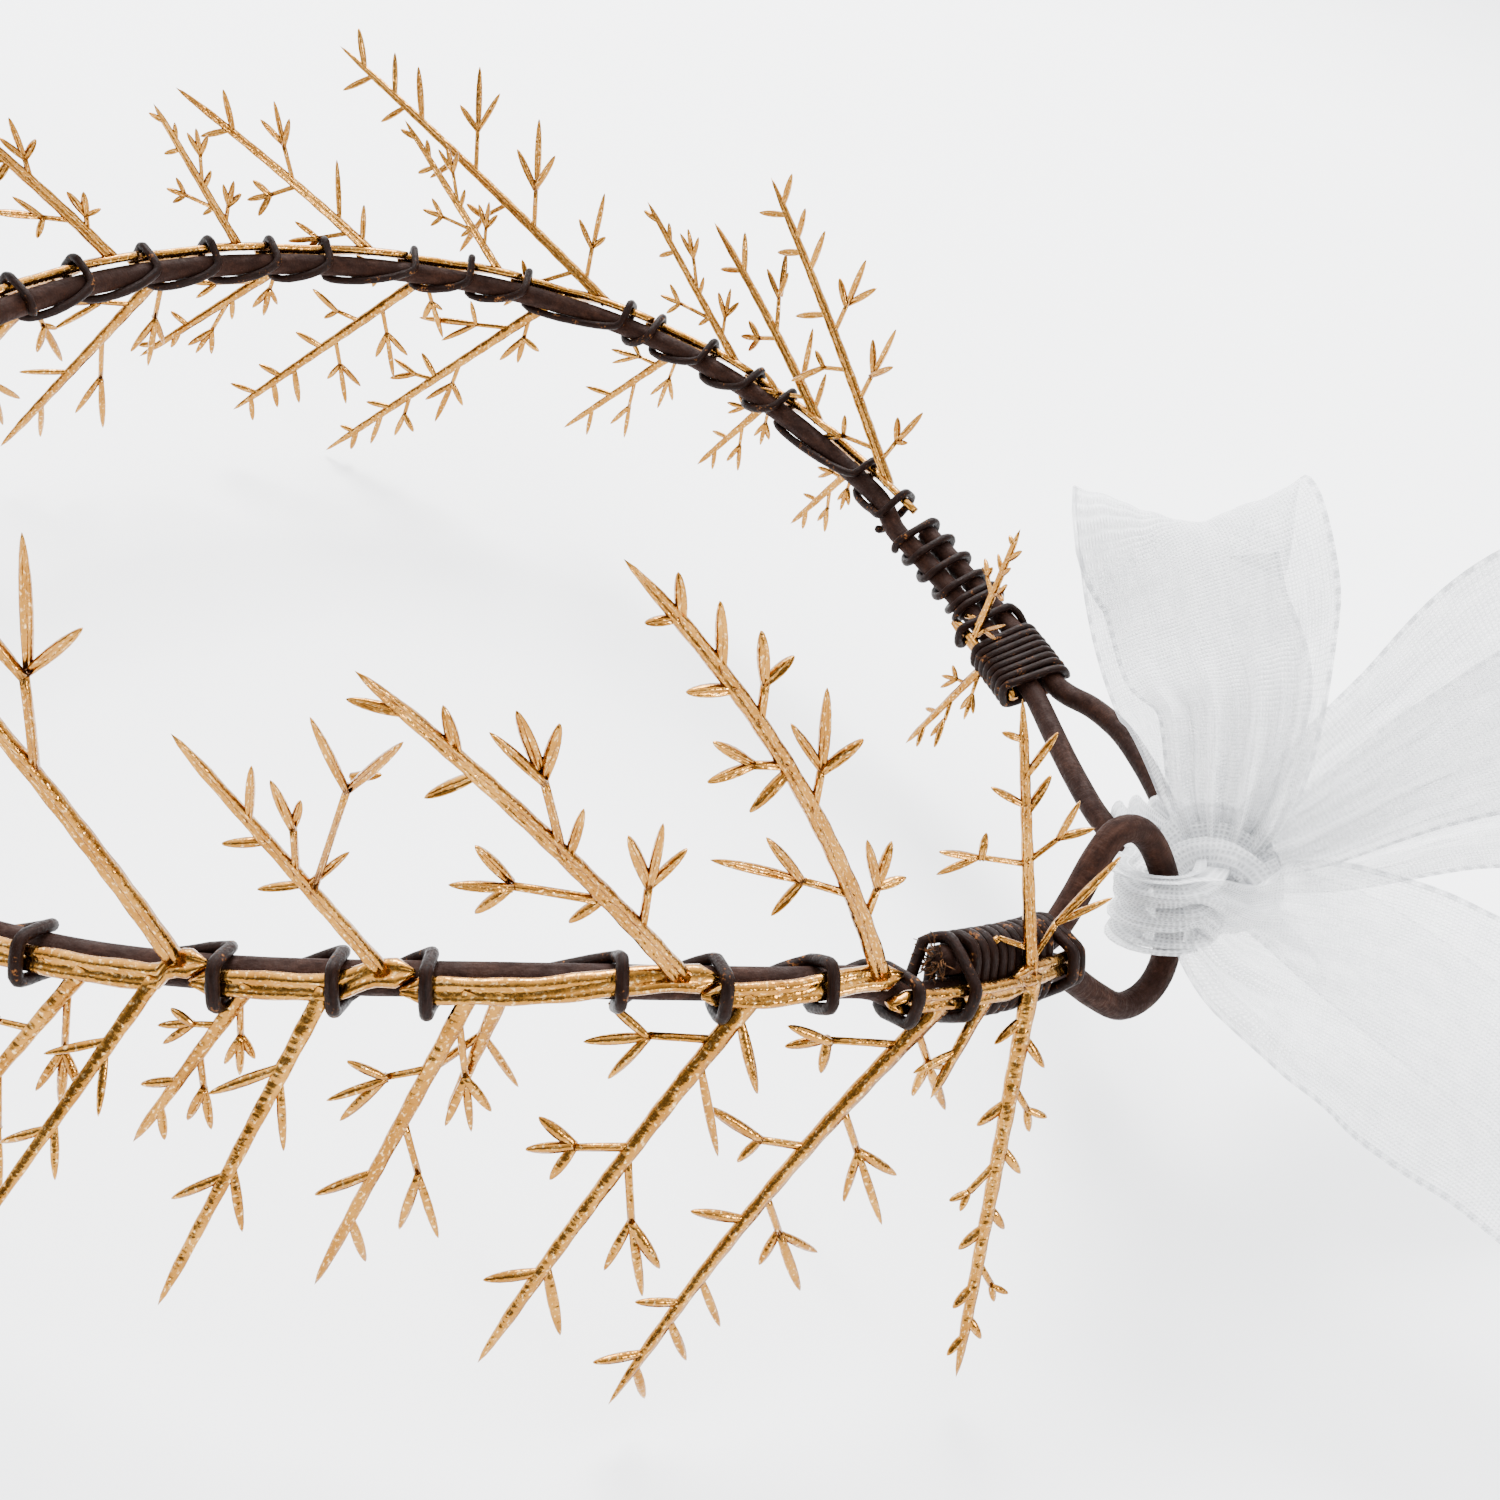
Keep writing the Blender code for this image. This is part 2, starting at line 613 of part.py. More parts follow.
def stem_mesh(frond, side):
    """The strip that lies along the band, as a closed bar."""
    bar = bmesh.new()
    count = max(2, round((frond.stop - frond.start) / STEM_STEP_DEG))
    rings = []
    for k in range(count + 1):
        middle, off, along = stem_point(frond, side, frond.start + (frond.stop - frond.start) * k / count)
        width = along.cross(off) * STEM_HALF_WIDTH
        depth = off * STEM_THICKNESS / 2
        corners = (width + depth, depth - width, -width - depth, width - depth)
        rings.append([bar.verts.new(middle + corner) for corner in corners])
    skin(bar, rings)
    return bar


def skin(mesh, rings):
    """Walls between each ring of points and the next, and a face over each end."""
    for first, second in zip(rings, rings[1:]):
        for k in range(len(first)):
            after = (k + 1) % len(first)
            mesh.faces.new((first[k], first[after], second[after], second[k]))
    mesh.faces.new(rings[0][::-1])
    mesh.faces.new(rings[-1])
    bmesh.ops.recalc_face_normals(mesh, faces=mesh.faces)


def fuse(name, pieces, finish):
    """One solid from closed pieces that run into each other."""
    meshes = []
    for piece in pieces:
        mesh = bpy.data.meshes.new(name)
        piece.to_mesh(mesh)
        piece.free()
        meshes.append(mesh)
    whole = add_object(name, meshes[0], finish)
    helpers = [add_object(name + "_piece", mesh, finish) for mesh in meshes[1:]]
    for helper in helpers:
        joined = whole.modifiers.new("Join", "BOOLEAN")
        joined.operation = "UNION"
        joined.solver = "EXACT"
        joined.object = helper
    graph = bpy.context.evaluated_depsgraph_get()
    solid = bpy.data.meshes.new_from_object(whole.evaluated_get(graph))
    whole.modifiers.clear()
    whole.data = solid
    for helper in helpers:
        bpy.data.objects.remove(helper, do_unlink=True)
    return whole


def sprig(frond, side, finish):
    """One gold sprig: its bound stem and its limbs, stamped from one sheet."""
    pieces = [stem_mesh(frond, side)]
    for limb in frond.limbs:
        base, _, _ = stem_point(frond, side, limb.at)
        pieces.append(standing_limb(limb, base, side))
    return fuse(frond.name, pieces, finish)


def section(end, fronds, degrees):
    """What a turn of binding wire goes round at this angle: discs out from and above the middle."""
    _, outward, up = ring_frame(end.side * degrees)
    rise = Vector((end.rise.dot(outward), end.rise.dot(up))) * PAIR_HALF
    pair_stop = abs(end.knot) + end.tail
    apart = 1 - smooth_step((degrees - pair_stop - 2) / 4)
    discs = [(-rise * apart, WIRE_RADIUS)]
    if degrees < pair_stop + 1:
        discs.append((rise, WIRE_RADIUS))
    for frond in fronds:
        if frond.start - 0.6 < degrees < frond.stop + 0.6:
            around = math.radians(stem_side(frond, degrees))
            off = Vector((math.cos(around), math.sin(around)))
            edge = Vector((-off.y, off.x)) * (STEM_HALF_WIDTH - STEM_THICKNESS / 3)
            discs.append((off * frond.offset + edge, STEM_THICKNESS / 2))
            discs.append((off * frond.offset - edge, STEM_THICKNESS / 2))
    return discs


def turn_point(end, fronds, degrees, around):
    """A point of the binding wire, pulled tight over everything in the section there."""
    _, outward, up = ring_frame(end.side * degrees)
    way = Vector((math.cos(around), math.sin(around)))
    discs = section(end, fronds, degrees)
    middle, radius = max(discs, key=lambda disc: disc[0].dot(way) + disc[1])
    flat = middle + way * (radius + BINDING_RADIUS + GAP)
    return ring_point(end.side * degrees) + outward * flat.x + up * flat.y


def winding(name, end, fronds, crossings, finish):
    """A winding of thin wire that crosses over the stems squarely and steps on behind them."""
    sides = []
    for degrees in crossings:
        lying = [stem_side(f, degrees) for f in fronds if f.start <= degrees <= f.stop]
        sides.append(math.radians(lying[0] if lying else RISING_SIDE))
    turns = [(crossings[0] - 0.35, crossings[0], sides[0] - math.pi, sides[0], 0.5)]
    for k in range(len(crossings) - 1):
        a, b = sides[k], sides[k + 1] + 2 * math.pi
        turns.append((crossings[k], crossings[k + 1], a, b, 1.0))
    turns.append((crossings[-1], crossings[-1] + 0.35, sides[-1], sides[-1] + math.pi, 0.5))
    route = []
    for first, last, start, stop, share in turns:
        count = round(BINDING_POINTS * share)
        for k in range(count):
            u = k / count
            degrees = first + (last - first) * smooth_step((u - 0.15) / 0.7)
            route.append(turn_point(end, fronds, degrees, start + (stop - start) * u))
    return tube(name, route, BINDING_RADIUS, 0, finish)


def strap_route():
    """The closed route of the ribbon's gathered part, through one eyelet and the other."""
    right, left = RIGHT_END.place(20.2, 0.5), LEFT_END.place(35.6, 1.4)
    way = (right - left).normalized()

    def around(end, place, inward):
        """A half turn about the far end of an eyelet, from its one side to the other."""
        turns = [math.radians(t) for t in (90, 50, 0, -50, -90)]
        half = [end.face * math.sin(t) - end.heading * math.cos(t) for t in turns]
        half[0] += inward * 0.15
        half[-1] += inward * 0.15
        return [place + way * STRAP_CLEAR for way in half]

    middle = (right + left) / 2
    controls = [KNOT, *around(RIGHT_END, right, -way), middle - (KNOT - middle) * 0.55]
    controls += around(LEFT_END, left, way)[::-1]
    wrapped = controls[-2:] + controls + controls[:2]
    route = smooth_route(wrapped, 2.6 * MM)
    first = min(range(len(route)), key=lambda k: (route[k] - controls[0]).length)
    last = max(k for k in range(len(route)) if (route[k] - controls[0]).length < 1.4 * MM)
    return route[first:last]


def strap_mesh():
    """The gathered part as a closed ring of soft round section."""
    route = strap_route()
    ring = bmesh.new()
    loops = []
    for k, place in enumerate(route):
        way = (route[(k + 1) % len(route)] - route[k - 1]).normalized()
        if k == 0:
            across = way.orthogonal().normalized()
        across = (across - way * across.dot(way)).normalized()
        third = way.cross(across)
        loops.append([
            ring.verts.new(place + (across * math.cos(t) + third * math.sin(t)) * STRAP_RADIUS)
            for t in np.arange(STRAP_SIDES) * 2 * math.pi / STRAP_SIDES
        ])
    first, last = loops[0], loops[-1]
    shift = min(
        range(STRAP_SIDES),
        key=lambda n: sum((last[i].co - first[(i + n) % STRAP_SIDES].co).length for i in range(STRAP_SIDES)),
    )
    loops.append([first[(i + shift) % STRAP_SIDES] for i in range(STRAP_SIDES)])
    for a, b in zip(loops, loops[1:]):
        for i in range(STRAP_SIDES):
            j = (i + 1) % STRAP_SIDES
            ring.faces.new((a[i], a[j], b[j], b[i]))
    bmesh.ops.recalc_face_normals(ring, faces=ring.faces)
    return ring


def cloth_mesh(stations):
    """A closed strip of cloth: each station gives its middle, the way across and its width, in mm."""
    middles = [KNOT + Vector(middle) * MM for middle, _, _ in stations]
    strip = bmesh.new()
    rings = []
    for k, (_, across, width) in enumerate(stations):
        width *= MM
        before, after = middles[max(k - 1, 0)], middles[min(k + 1, len(middles) - 1)]
        way = (after - before).normalized()
        across = Vector(across)
        across = (across - way * across.dot(way)).normalized()
        through = way.cross(across)
        edge = np.linspace(-0.5, 0.5, CLOTH_POINTS)
        line = []
        for share in edge:
            wave = CLOTH_WAVE * math.sin(share * 2 * math.pi + k)
            line.append(middles[k] + (across * share + through * wave) * width)
        top = [point + through * CLOTH_THICKNESS / 2 for point in line]
        bottom = [point - through * CLOTH_THICKNESS / 2 for point in reversed(line)]
        rings.append([strip.verts.new(point) for point in top + bottom])
    skin(strip, rings)
    return strip


def knot_mesh():
    knot = bmesh.new()
    bmesh.ops.create_uvsphere(knot, u_segments=12, v_segments=8, radius=1.0)
    for vert in knot.verts:
        vert.co = KNOT + Vector(vert.co[i] * KNOT_HALF[i] for i in range(3))
    return knot


def ribbon(finish):
    pieces = [knot_mesh(), strap_mesh()]
    pieces += [cloth_mesh(stations) for stations in (UPRIGHT_LOOP, SIDE_LOOP, NEAR_TAIL, FAR_TAIL)]
    return fuse("ribbon", pieces, finish)


def stand_on_table(objects):
    """Moves everything so that the middle of its base is the origin."""
    bpy.context.view_layer.update()
    graph = bpy.context.evaluated_depsgraph_get()
    corners = []
    for obj in objects:
        mesh = obj.evaluated_get(graph).to_mesh()
        corners += [obj.matrix_world @ vert.co for vert in mesh.vertices]
    low = Vector(min(corner[i] for corner in corners) for i in range(3))
    high = Vector(max(corner[i] for corner in corners) for i in range(3))
    shift = Vector((-(low.x + high.x) / 2, -(low.y + high.y) / 2, -low.z))
    for obj in objects:
        obj.data.transform(Matrix.Translation(shift))
    print("moved by", tuple(round(value / MM, 4) for value in shift), "mm")


def main():
    clear_scene()
    covered = material("covered_wire", (0.05, 0.032, 0.022), 0.75)
    binding = material("binding_wire", (0.035, 0.022, 0.015), 0.5)
    gold = material("gold", (0.75, 0.55, 0.30), 0.35, metallic=1.0)
    organza = material("organza", (0.93, 0.93, 0.94), 0.6, alpha=0.55)
    objects = [base_wire(covered)]
    right = (RIGHT_KNOT_FROND, *RIGHT_FRONDS)
    left = (LEFT_KNOT_FROND, *LEFT_FRONDS)
    objects.append(winding("end_coil_right", RIGHT_END, right, RIGHT_COIL, binding))
    objects.append(winding("end_coil_left", LEFT_END, left, LEFT_COIL, binding))
    objects.append(winding("band_wrap_right", RIGHT_END, right, RIGHT_WRAPS, binding))
    objects.append(winding("band_wrap_left", LEFT_END, left, LEFT_WRAPS, binding))
    objects += [sprig(frond, 1, gold) for frond in right]
    objects += [sprig(frond, -1, gold) for frond in left]
    objects.append(ribbon(organza))
    stand_on_table(objects)


main()
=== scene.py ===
"""Looks for the gold sprig hair wreath: its covered wire, bound sprigs and sheer ribbon.

Angles run round the ring from its gap, +Y, towards +X, so the right half has positive angles,
the left half negative ones, and 180 is the front.
"""

import math
import random
from collections import namedtuple

import bpy
import numpy as np
from mathutils import Matrix, Quaternion, Vector


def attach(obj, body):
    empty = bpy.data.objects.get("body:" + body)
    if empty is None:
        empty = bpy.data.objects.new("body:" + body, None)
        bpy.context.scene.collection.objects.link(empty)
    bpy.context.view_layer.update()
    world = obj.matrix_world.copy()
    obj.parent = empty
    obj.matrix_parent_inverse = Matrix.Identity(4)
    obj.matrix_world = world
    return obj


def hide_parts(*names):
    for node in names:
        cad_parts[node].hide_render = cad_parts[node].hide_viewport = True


MM = 0.001

# The ring of covered wire, in its own frame, and where its middle stands
RING_MIDDLE = Vector((-4.6371, -73.9415, 42.0)) * MM
RING_RADIUS = 87.5 * MM
RING_OVAL = 0.039
RING_FRONT_FLARE = 0.05
RING_TWIST = 6.0 * MM
RING_WAVE_COS = -2.5 * MM
RING_WAVE_SIN = 2.3 * MM
WIRE_RADIUS = 1.75 * MM
WIRE_STEP_DEG = 6
STAND_HEIGHT = 42.0 * MM

# The folded ends, in angles from the gap
PAIR_HALF = 2.0 * MM
RIGHT_EYELET = (
    (2.6, -3.9), (7.0, -8.0), (11.3, -11.0), (16.0, -10.6), (19.2, -7.2), (20.2, -0.5),
    (18.2, 6.6), (15.2, 10.7), (11.4, 11.6), (8.0, 9.4), (4.2, 5.4),
)
LEFT_EYELET = (
    (4.0, -2.2), (12.0, -2.9), (20.0, -3.4), (28.0, -3.5), (33.2, -2.4), (35.6, 1.4),
    (33.2, 5.2), (27.0, 6.5), (20.0, 7.0), (13.0, 6.8), (7.0, 5.2), (3.0, 3.0),
)

# Binding wire
BINDING_RADIUS = 0.68 * MM
BINDING_POINTS = 26
GAP = 0.02 * MM

# Gold sprigs
STEM_HALF_WIDTH = 1.4 * MM
STEM_THICKNESS = 1.4 * MM
STEM_OFFSET = WIRE_RADIUS + STEM_THICKNESS / 2 + 0.4 * MM
LIMB_HALF_WIDTH = 1.02 * MM
BLADE_HALF_WIDTH = 0.56 * MM
NECK_HALF_WIDTH = 0.44 * MM
STEM_LAP_DEG = 0.9
RISING_SIDE = 58
HANGING_SIDE = 26
INWARD_SIDE = -35
# Round a sprig's section: a share of its half width, and of its half thickness
SECTION = (
    (-1.0, 0.0), (-0.9, 0.55), (-0.6, 1.0), (-0.3, 0.85), (0.0, 0.35), (0.3, 0.85), (0.6, 1.0),
    (0.9, 0.55), (1.0, 0.0), (0.85, -0.75), (0.0, -0.9), (-0.85, -0.75),
)
# A blade's half width, from its neck to its tip: a share of its length, and of its widest part
BLADE_SHAPE = (
    (0.0, 0.72), (0.12, 0.78), (0.3, 0.95), (0.5, 1.0), (0.7, 0.88), (0.86, 0.62),
    (0.95, 0.36), (1.0, 0.08),
)

WINDOW_WAY = (-0.55, -0.35, 0.76)
BACKDROP_STRENGTH = 1.5
TABLE_HALF = 20.0

# The ribbon, in mm: each station is a place from the knot, the way across and the width
RIBBON_WIDTH = 38.0
RIBBON_PLEATS = 3.5
RIBBON_POINTS = 44
RIBBON_SPACING = 1.3
KNOT = Vector((-3.0, 106.0, 3.0)) * MM
STRAP_CLEAR = 5.0 * MM
STRAP_WIDTH = 10.0
UPRIGHT_LOOP = (
    ((-3.5, -0.5, 0), (0, 1, 0.3), 8),
    ((-8, -3, 5), (0.1, 1, 0.3), 15),
    ((-17, -8, 13), (0.25, 0.85, 0.5), 26),
    ((-24, -15, 18), (0.34, 0.79, 0.5), 29),
    ((-29, -21, 25), (0.34, 0.79, 0.5), 30),
    ((-27, -22, 30.5), (0.34, 0.79, 0.5), 31),
    ((-20, -18, 31), (0.34, 0.79, 0.5), 31),
    ((-11, -12, 26), (0.3, 0.8, 0.45), 29),
    ((-4, -7, 21), (0.2, 0.9, 0.4), 21),
    ((0, -2.5, 10), (0.1, 1, 0.3), 15),
    ((0.5, -0.5, 3.5), (0, 1, 0.3), 8),
)
SIDE_LOOP = (
    ((-1, 2.5, 3.5), (0.6, 0.4, -0.5), 8),
    ((-3, 6, 10), (0.5, 0.6, -0.5), 14),
    ((-8, 14, 23), (0.35, 0.7, -0.5), 22),
    ((-15, 24, 35), (0.28, 0.7, -0.52), 33),
    ((-23, 38, 43), (0.28, 0.7, -0.52), 37),
    ((-31, 49, 43), (0.28, 0.7, -0.52), 37),
    ((-34, 50, 34), (0.28, 0.7, -0.52), 37),
    ((-29, 39, 24), (0.28, 0.7, -0.52), 35),
    ((-20, 25, 15), (0.35, 0.7, -0.5), 24),
    ((-9, 12, 5), (0.5, 0.6, -0.5), 14),
    ((-4, 3, -0.5), (0.6, 0.4, -0.5), 8),
)
NEAR_TAIL_TURNS = (-75, -35, 5, 45, 80)
NEAR_TAIL_GATHER = 10.5
NEAR_TAIL = (
    ((15.5, 4.5, 2), (0.6, 0.3, -0.7), 18),
    ((12, 12, 0), (0.8, 0.2, -0.5), 28),
    ((9.5, 21, -1), (0.87, 0.22, -0.44), 35),
    ((9.5, 31, -1.5), (0.87, 0.22, -0.44), 38),
    ((11, 43, -3), (0.87, 0.22, -0.44), 38),
    ((15, 62, -9), (0.9, 0.1, -0.35), 38),
    ((20, 86, -20), (0.95, 0, -0.2), 38),
    ((25, 108, -33), (0.97, -0.1, -0.1), 38),
    ((29, 127, -42), (0.97, -0.2, 0), 38),
    ((33, 147, -43), (0.97, -0.2, 0), 38),
)
FAR_TAIL = (
    ((-2.5, 2, -3), (1, 0.3, 0), 4),
    ((-8, 8, -8), (1, 0.4, 0), 10),
    ((-17, 19, -15), (1, 0.4, -0.1), 24),
    ((-25, 36, -22), (1, 0.4, -0.1), 36),
    ((-32, 56, -31), (1, 0.35, -0.1), 38),
    ((-38, 78, -40), (1, 0.3, 0), 38),
    ((-43, 100, -43), (1, 0.25, 0), 38),
    ((-48, 121, -43), (1, 0.25, 0), 38),
)

Twig = namedtuple("Twig", "where angle neck prongs", defaults=((),))
Limb = namedtuple("Limb", "at out rise length pattern curl bow twist")
Frond = namedtuple("Frond", "name start stop limbs side offset", defaults=(None, STEM_OFFSET))

# Each pattern is one sprig pressed flat, in shares of its length: where a twig leaves the stem,
# its angle towards the front, and how far it runs, then the prongs at its end, if any, each with
# its turn from the twig and its length.
TALL_SPRAY = (
    Twig(0.14, -38, 0.07, ((-70, 0.06), (0, 0.09), (30, 0.11))),
    Twig(0.21, 38, 0.11, ((-30, 0.13), (0, 0.18), (80, 0.08))),
    Twig(0.42, -32, 0.08, ((-42, 0.08), (4, 0.15), (34, 0.11))),
    Twig(0.52, 100, 0.09),
    Twig(0.53, 45, 0.06, ((-25, 0.09), (22, 0.08))),
    Twig(0.63, -35, 0.07, ((-45, 0.06), (8, 0.09))),
    Twig(0.71, 48, 0.08),
    Twig(0.75, -30, 0.12),
    Twig(0.86, -32, 0.08),
    Twig(0.87, 52, 0.05),
)
BROAD_SPRAY = (
    Twig(0.17, -38, 0.12, ((-35, 0.11), (-3, 0.16), (22, 0.14))),
    Twig(0.28, 35, 0.20, ((-38, 0.12), (5, 0.12), (60, 0.09))),
    Twig(0.30, 95, 0.09),
    Twig(0.43, -48, 0.12),
    Twig(0.45, -25, 0.19, ((-23, 0.13), (4, 0.16), (25, 0.15))),
    Twig(0.70, 78, 0.10),
    Twig(0.75, -27, 0.11),
    Twig(0.88, 30, 0.10),
)
OPEN_SPRAY = (
    Twig(0.37, -43, 0.50, ((-60, 0.08), (-18, 0.27), (30, 0.26))),
    Twig(0.40, -65, 0.20),
    Twig(0.41, 66, 0.12),
    Twig(0.45, -30, 0.18, ((-12, 0.10), (15, 0.18))),
    Twig(0.59, 64, 0.11),
    Twig(0.67, -35, 0.20),
)
WIDE_SPRAY = (
    Twig(0.51, -34, 0.24, ((-40, 0.16), (-4, 0.28), (35, 0.16))),
    Twig(0.59, 44, 0.16, ((-53, 0.15), (-17, 0.14), (60, 0.15))),
    Twig(0.93, -42, 0.20),
    Twig(0.93, 34, 0.14),
)
HANGING_SPRAY = (
    Twig(0.08, -66, 0.10, ((-37, 0.05), (-1, 0.15), (38, 0.08))),
    Twig(0.12, 58, 0.14, ((-90, 0.07), (-16, 0.08), (20, 0.10))),
    Twig(0.28, -60, 0.11, ((-30, 0.12), (2, 0.18), (32, 0.11))),
    Twig(0.38, 66, 0.09, ((-60, 0.06), (23, 0.13))),
    Twig(0.50, -58, 0.11, ((-30, 0.12), (1, 0.16), (45, 0.08))),
    Twig(0.56, 70, 0.11),
    Twig(0.70, -56, 0.14),
    Twig(0.76, 66, 0.09),
    Twig(0.80, -55, 0.11),
    Twig(0.88, 60, 0.10),
    Twig(0.91, -50, 0.10),
)
SPLIT_SPRAY = (
    Twig(0.05, -50, 0.18),
    Twig(0.12, 56, 0.14, ((-50, 0.12), (-7, 0.13), (40, 0.11))),
    Twig(0.18, -48, 0.26),
    Twig(0.41, 60, 0.12, ((-60, 0.09), (-5, 0.10), (38, 0.10))),
    Twig(0.43, -38, 0.16, ((-25, 0.12), (-3, 0.18), (30, 0.13))),
    Twig(0.73, -42, 0.18),
    Twig(0.75, 52, 0.12),
)
SPARE_SPRAY = (
    Twig(0.08, -30, 0.20, ((-24, 0.14), (0, 0.20), (24, 0.16))),
    Twig(0.25, 56, 0.11, ((-38, 0.18), (-8, 0.16), (44, 0.12))),
    Twig(0.42, -36, 0.18, ((-2, 0.22), (28, 0.18))),
    Twig(0.60, 50, 0.16),
    Twig(0.76, -36, 0.18),
)
FORKED_SPRAY = (
    Twig(0.24, 45, 0.20),
    Twig(0.27, -28, 0.22),
    Twig(0.55, -32, 0.20),
    Twig(0.58, 38, 0.16),
)
KNOT_SPRAY = (
    Twig(0.05, -35, 0.16, ((-38, 0.20), (-12, 0.30))),
    Twig(0.10, 60, 0.12, ((60, 0.15),)),
    Twig(0.42, 66, 0.18, ((-80, 0.09), (0, 0.15), (33, 0.15))),
    Twig(0.43, -52, 0.12, ((-27, 0.12), (24, 0.15))),
    Twig(0.60, -34, 0.15),
    Twig(0.63, 52, 0.14),
    Twig(0.73, -34, 0.18),
    Twig(0.86, 60, 0.08),
)
TOOTHED_SPRAY = (
    Twig(0.10, 44, 0.09),
    Twig(0.14, -40, 0.10),
    Twig(0.26, -38, 0.08, ((-30, 0.06), (20, 0.06))),
    Twig(0.30, 42, 0.09),
    Twig(0.41, -42, 0.09),
    Twig(0.45, 40, 0.09, ((-24, 0.05), (26, 0.05))),
    Twig(0.56, -40, 0.08),
    Twig(0.61, 40, 0.08),
    Twig(0.70, -36, 0.08, ((-28, 0.05), (16, 0.05))),
    Twig(0.76, 38, 0.07),
    Twig(0.84, -36, 0.07),
    Twig(0.89, 36, 0.06),
)
PAIR_SPRAY = (
    Twig(0.30, 26, 0.55),
    Twig(0.34, -40, 0.50),
)
SHORT_TWIG = (Twig(0.55, 42, 0.42),)

# A limb: the angle where it leaves the band; how far it turns out of the band's line and how far
# it rises; its length in mm; its pattern; how much it curls in its own plane and bows out of it;
# and its twist about itself.
RIGHT_FRONDS = (
    Frond("knot_sprig_right", 17.7, 23.6, (
        Limb(22.6, -80, 65, 33, KNOT_SPRAY, 0, 0, -38),
        Limb(22.4, 57, -64, 51, TOOTHED_SPRAY, 0, 0, 40),
    ), 29, STEM_OFFSET + 0.8 * MM),
    Frond("sprig_right_01", 24.2, 34.0, (
        Limb(26.6, 20, -52, 13, SHORT_TWIG, 0, 0, 20),
        Limb(30.2, 6, -52, 57, HANGING_SPRAY, -8, -8, 24),
    ), 12, STEM_OFFSET + 0.9 * MM),
    Frond("sprig_right_02", 34.6, 46.8, (
        Limb(35.2, -26, 51, 57.5, TALL_SPRAY, 22, 0, 0),
        Limb(44.2, 22, -56, 48, SPLIT_SPRAY, -6, 0, 26),
    )),
    Frond("sprig_right_03", 47.6, 66.0, (
        Limb(49.0, -8, 45, 48, BROAD_SPRAY, 8, 0, 0),
        Limb(60.4, 24, -80, 18, PAIR_SPRAY, 0, 0, 0),
        Limb(62.4, 46, -66, 37, SPARE_SPRAY, 0, 0, 0),
    )),
    Frond("sprig_right_04", 66.9, 79.2, (
        Limb(68.0, 8, 54, 33, OPEN_SPRAY, 0, 0, 0),
        Limb(71.6, 62, -58, 36, FORKED_SPRAY, 0, 0, 0),
        Limb(76.4, 40, -62, 22, SPARE_SPRAY, 0, 0, 0),
    )),
    Frond("sprig_right_05", 80.0, 94.0, (
        Limb(81.2, 10, 56, 46, WIDE_SPRAY, 10, 0, 0),
        Limb(82.4, 66, -50, 30, FORKED_SPRAY, 0, 0, 0),
        Limb(87.0, 50, -56, 34, SPARE_SPRAY, 0, 0, 0),
    )),
    Frond("sprig_right_06", 94.8, 109.0, (
        Limb(96.2, 6, 46, 47, TALL_SPRAY, 16, 0, 0),
        Limb(103.0, 27, -52, 55, HANGING_SPRAY, -10, 0, 0),
    )),
    Frond("sprig_right_07", 109.8, 124.0, (
        Limb(111.2, 12, 52, 44, BROAD_SPRAY, 10, 0, 0),
        Limb(118.0, 30, -54, 40, SPARE_SPRAY, 0, 0, 0),
    )),
    Frond("sprig_right_08", 124.8, 139.0, (
        Limb(126.2, -4, 44, 50, TALL_SPRAY, 18, 0, 0),
        Limb(133.0, 16, -48, 56, SPLIT_SPRAY, -8, 0, 0),
    )),
    Frond("sprig_right_09", 139.8, 154.0, (
        Limb(141.2, 14, 50, 42, BROAD_SPRAY, 10, 0, 0),
        Limb(148.0, 28, -52, 38, SPARE_SPRAY, 0, 0, 0),
    )),
    Frond("sprig_right_10", 154.8, 172.0, (
        Limb(156.4, 8, 46, 44, TALL_SPRAY, 12, 0, 0),
        Limb(164.0, 30, -46, 40, SPARE_SPRAY, 0, 0, 0),
    )),
)
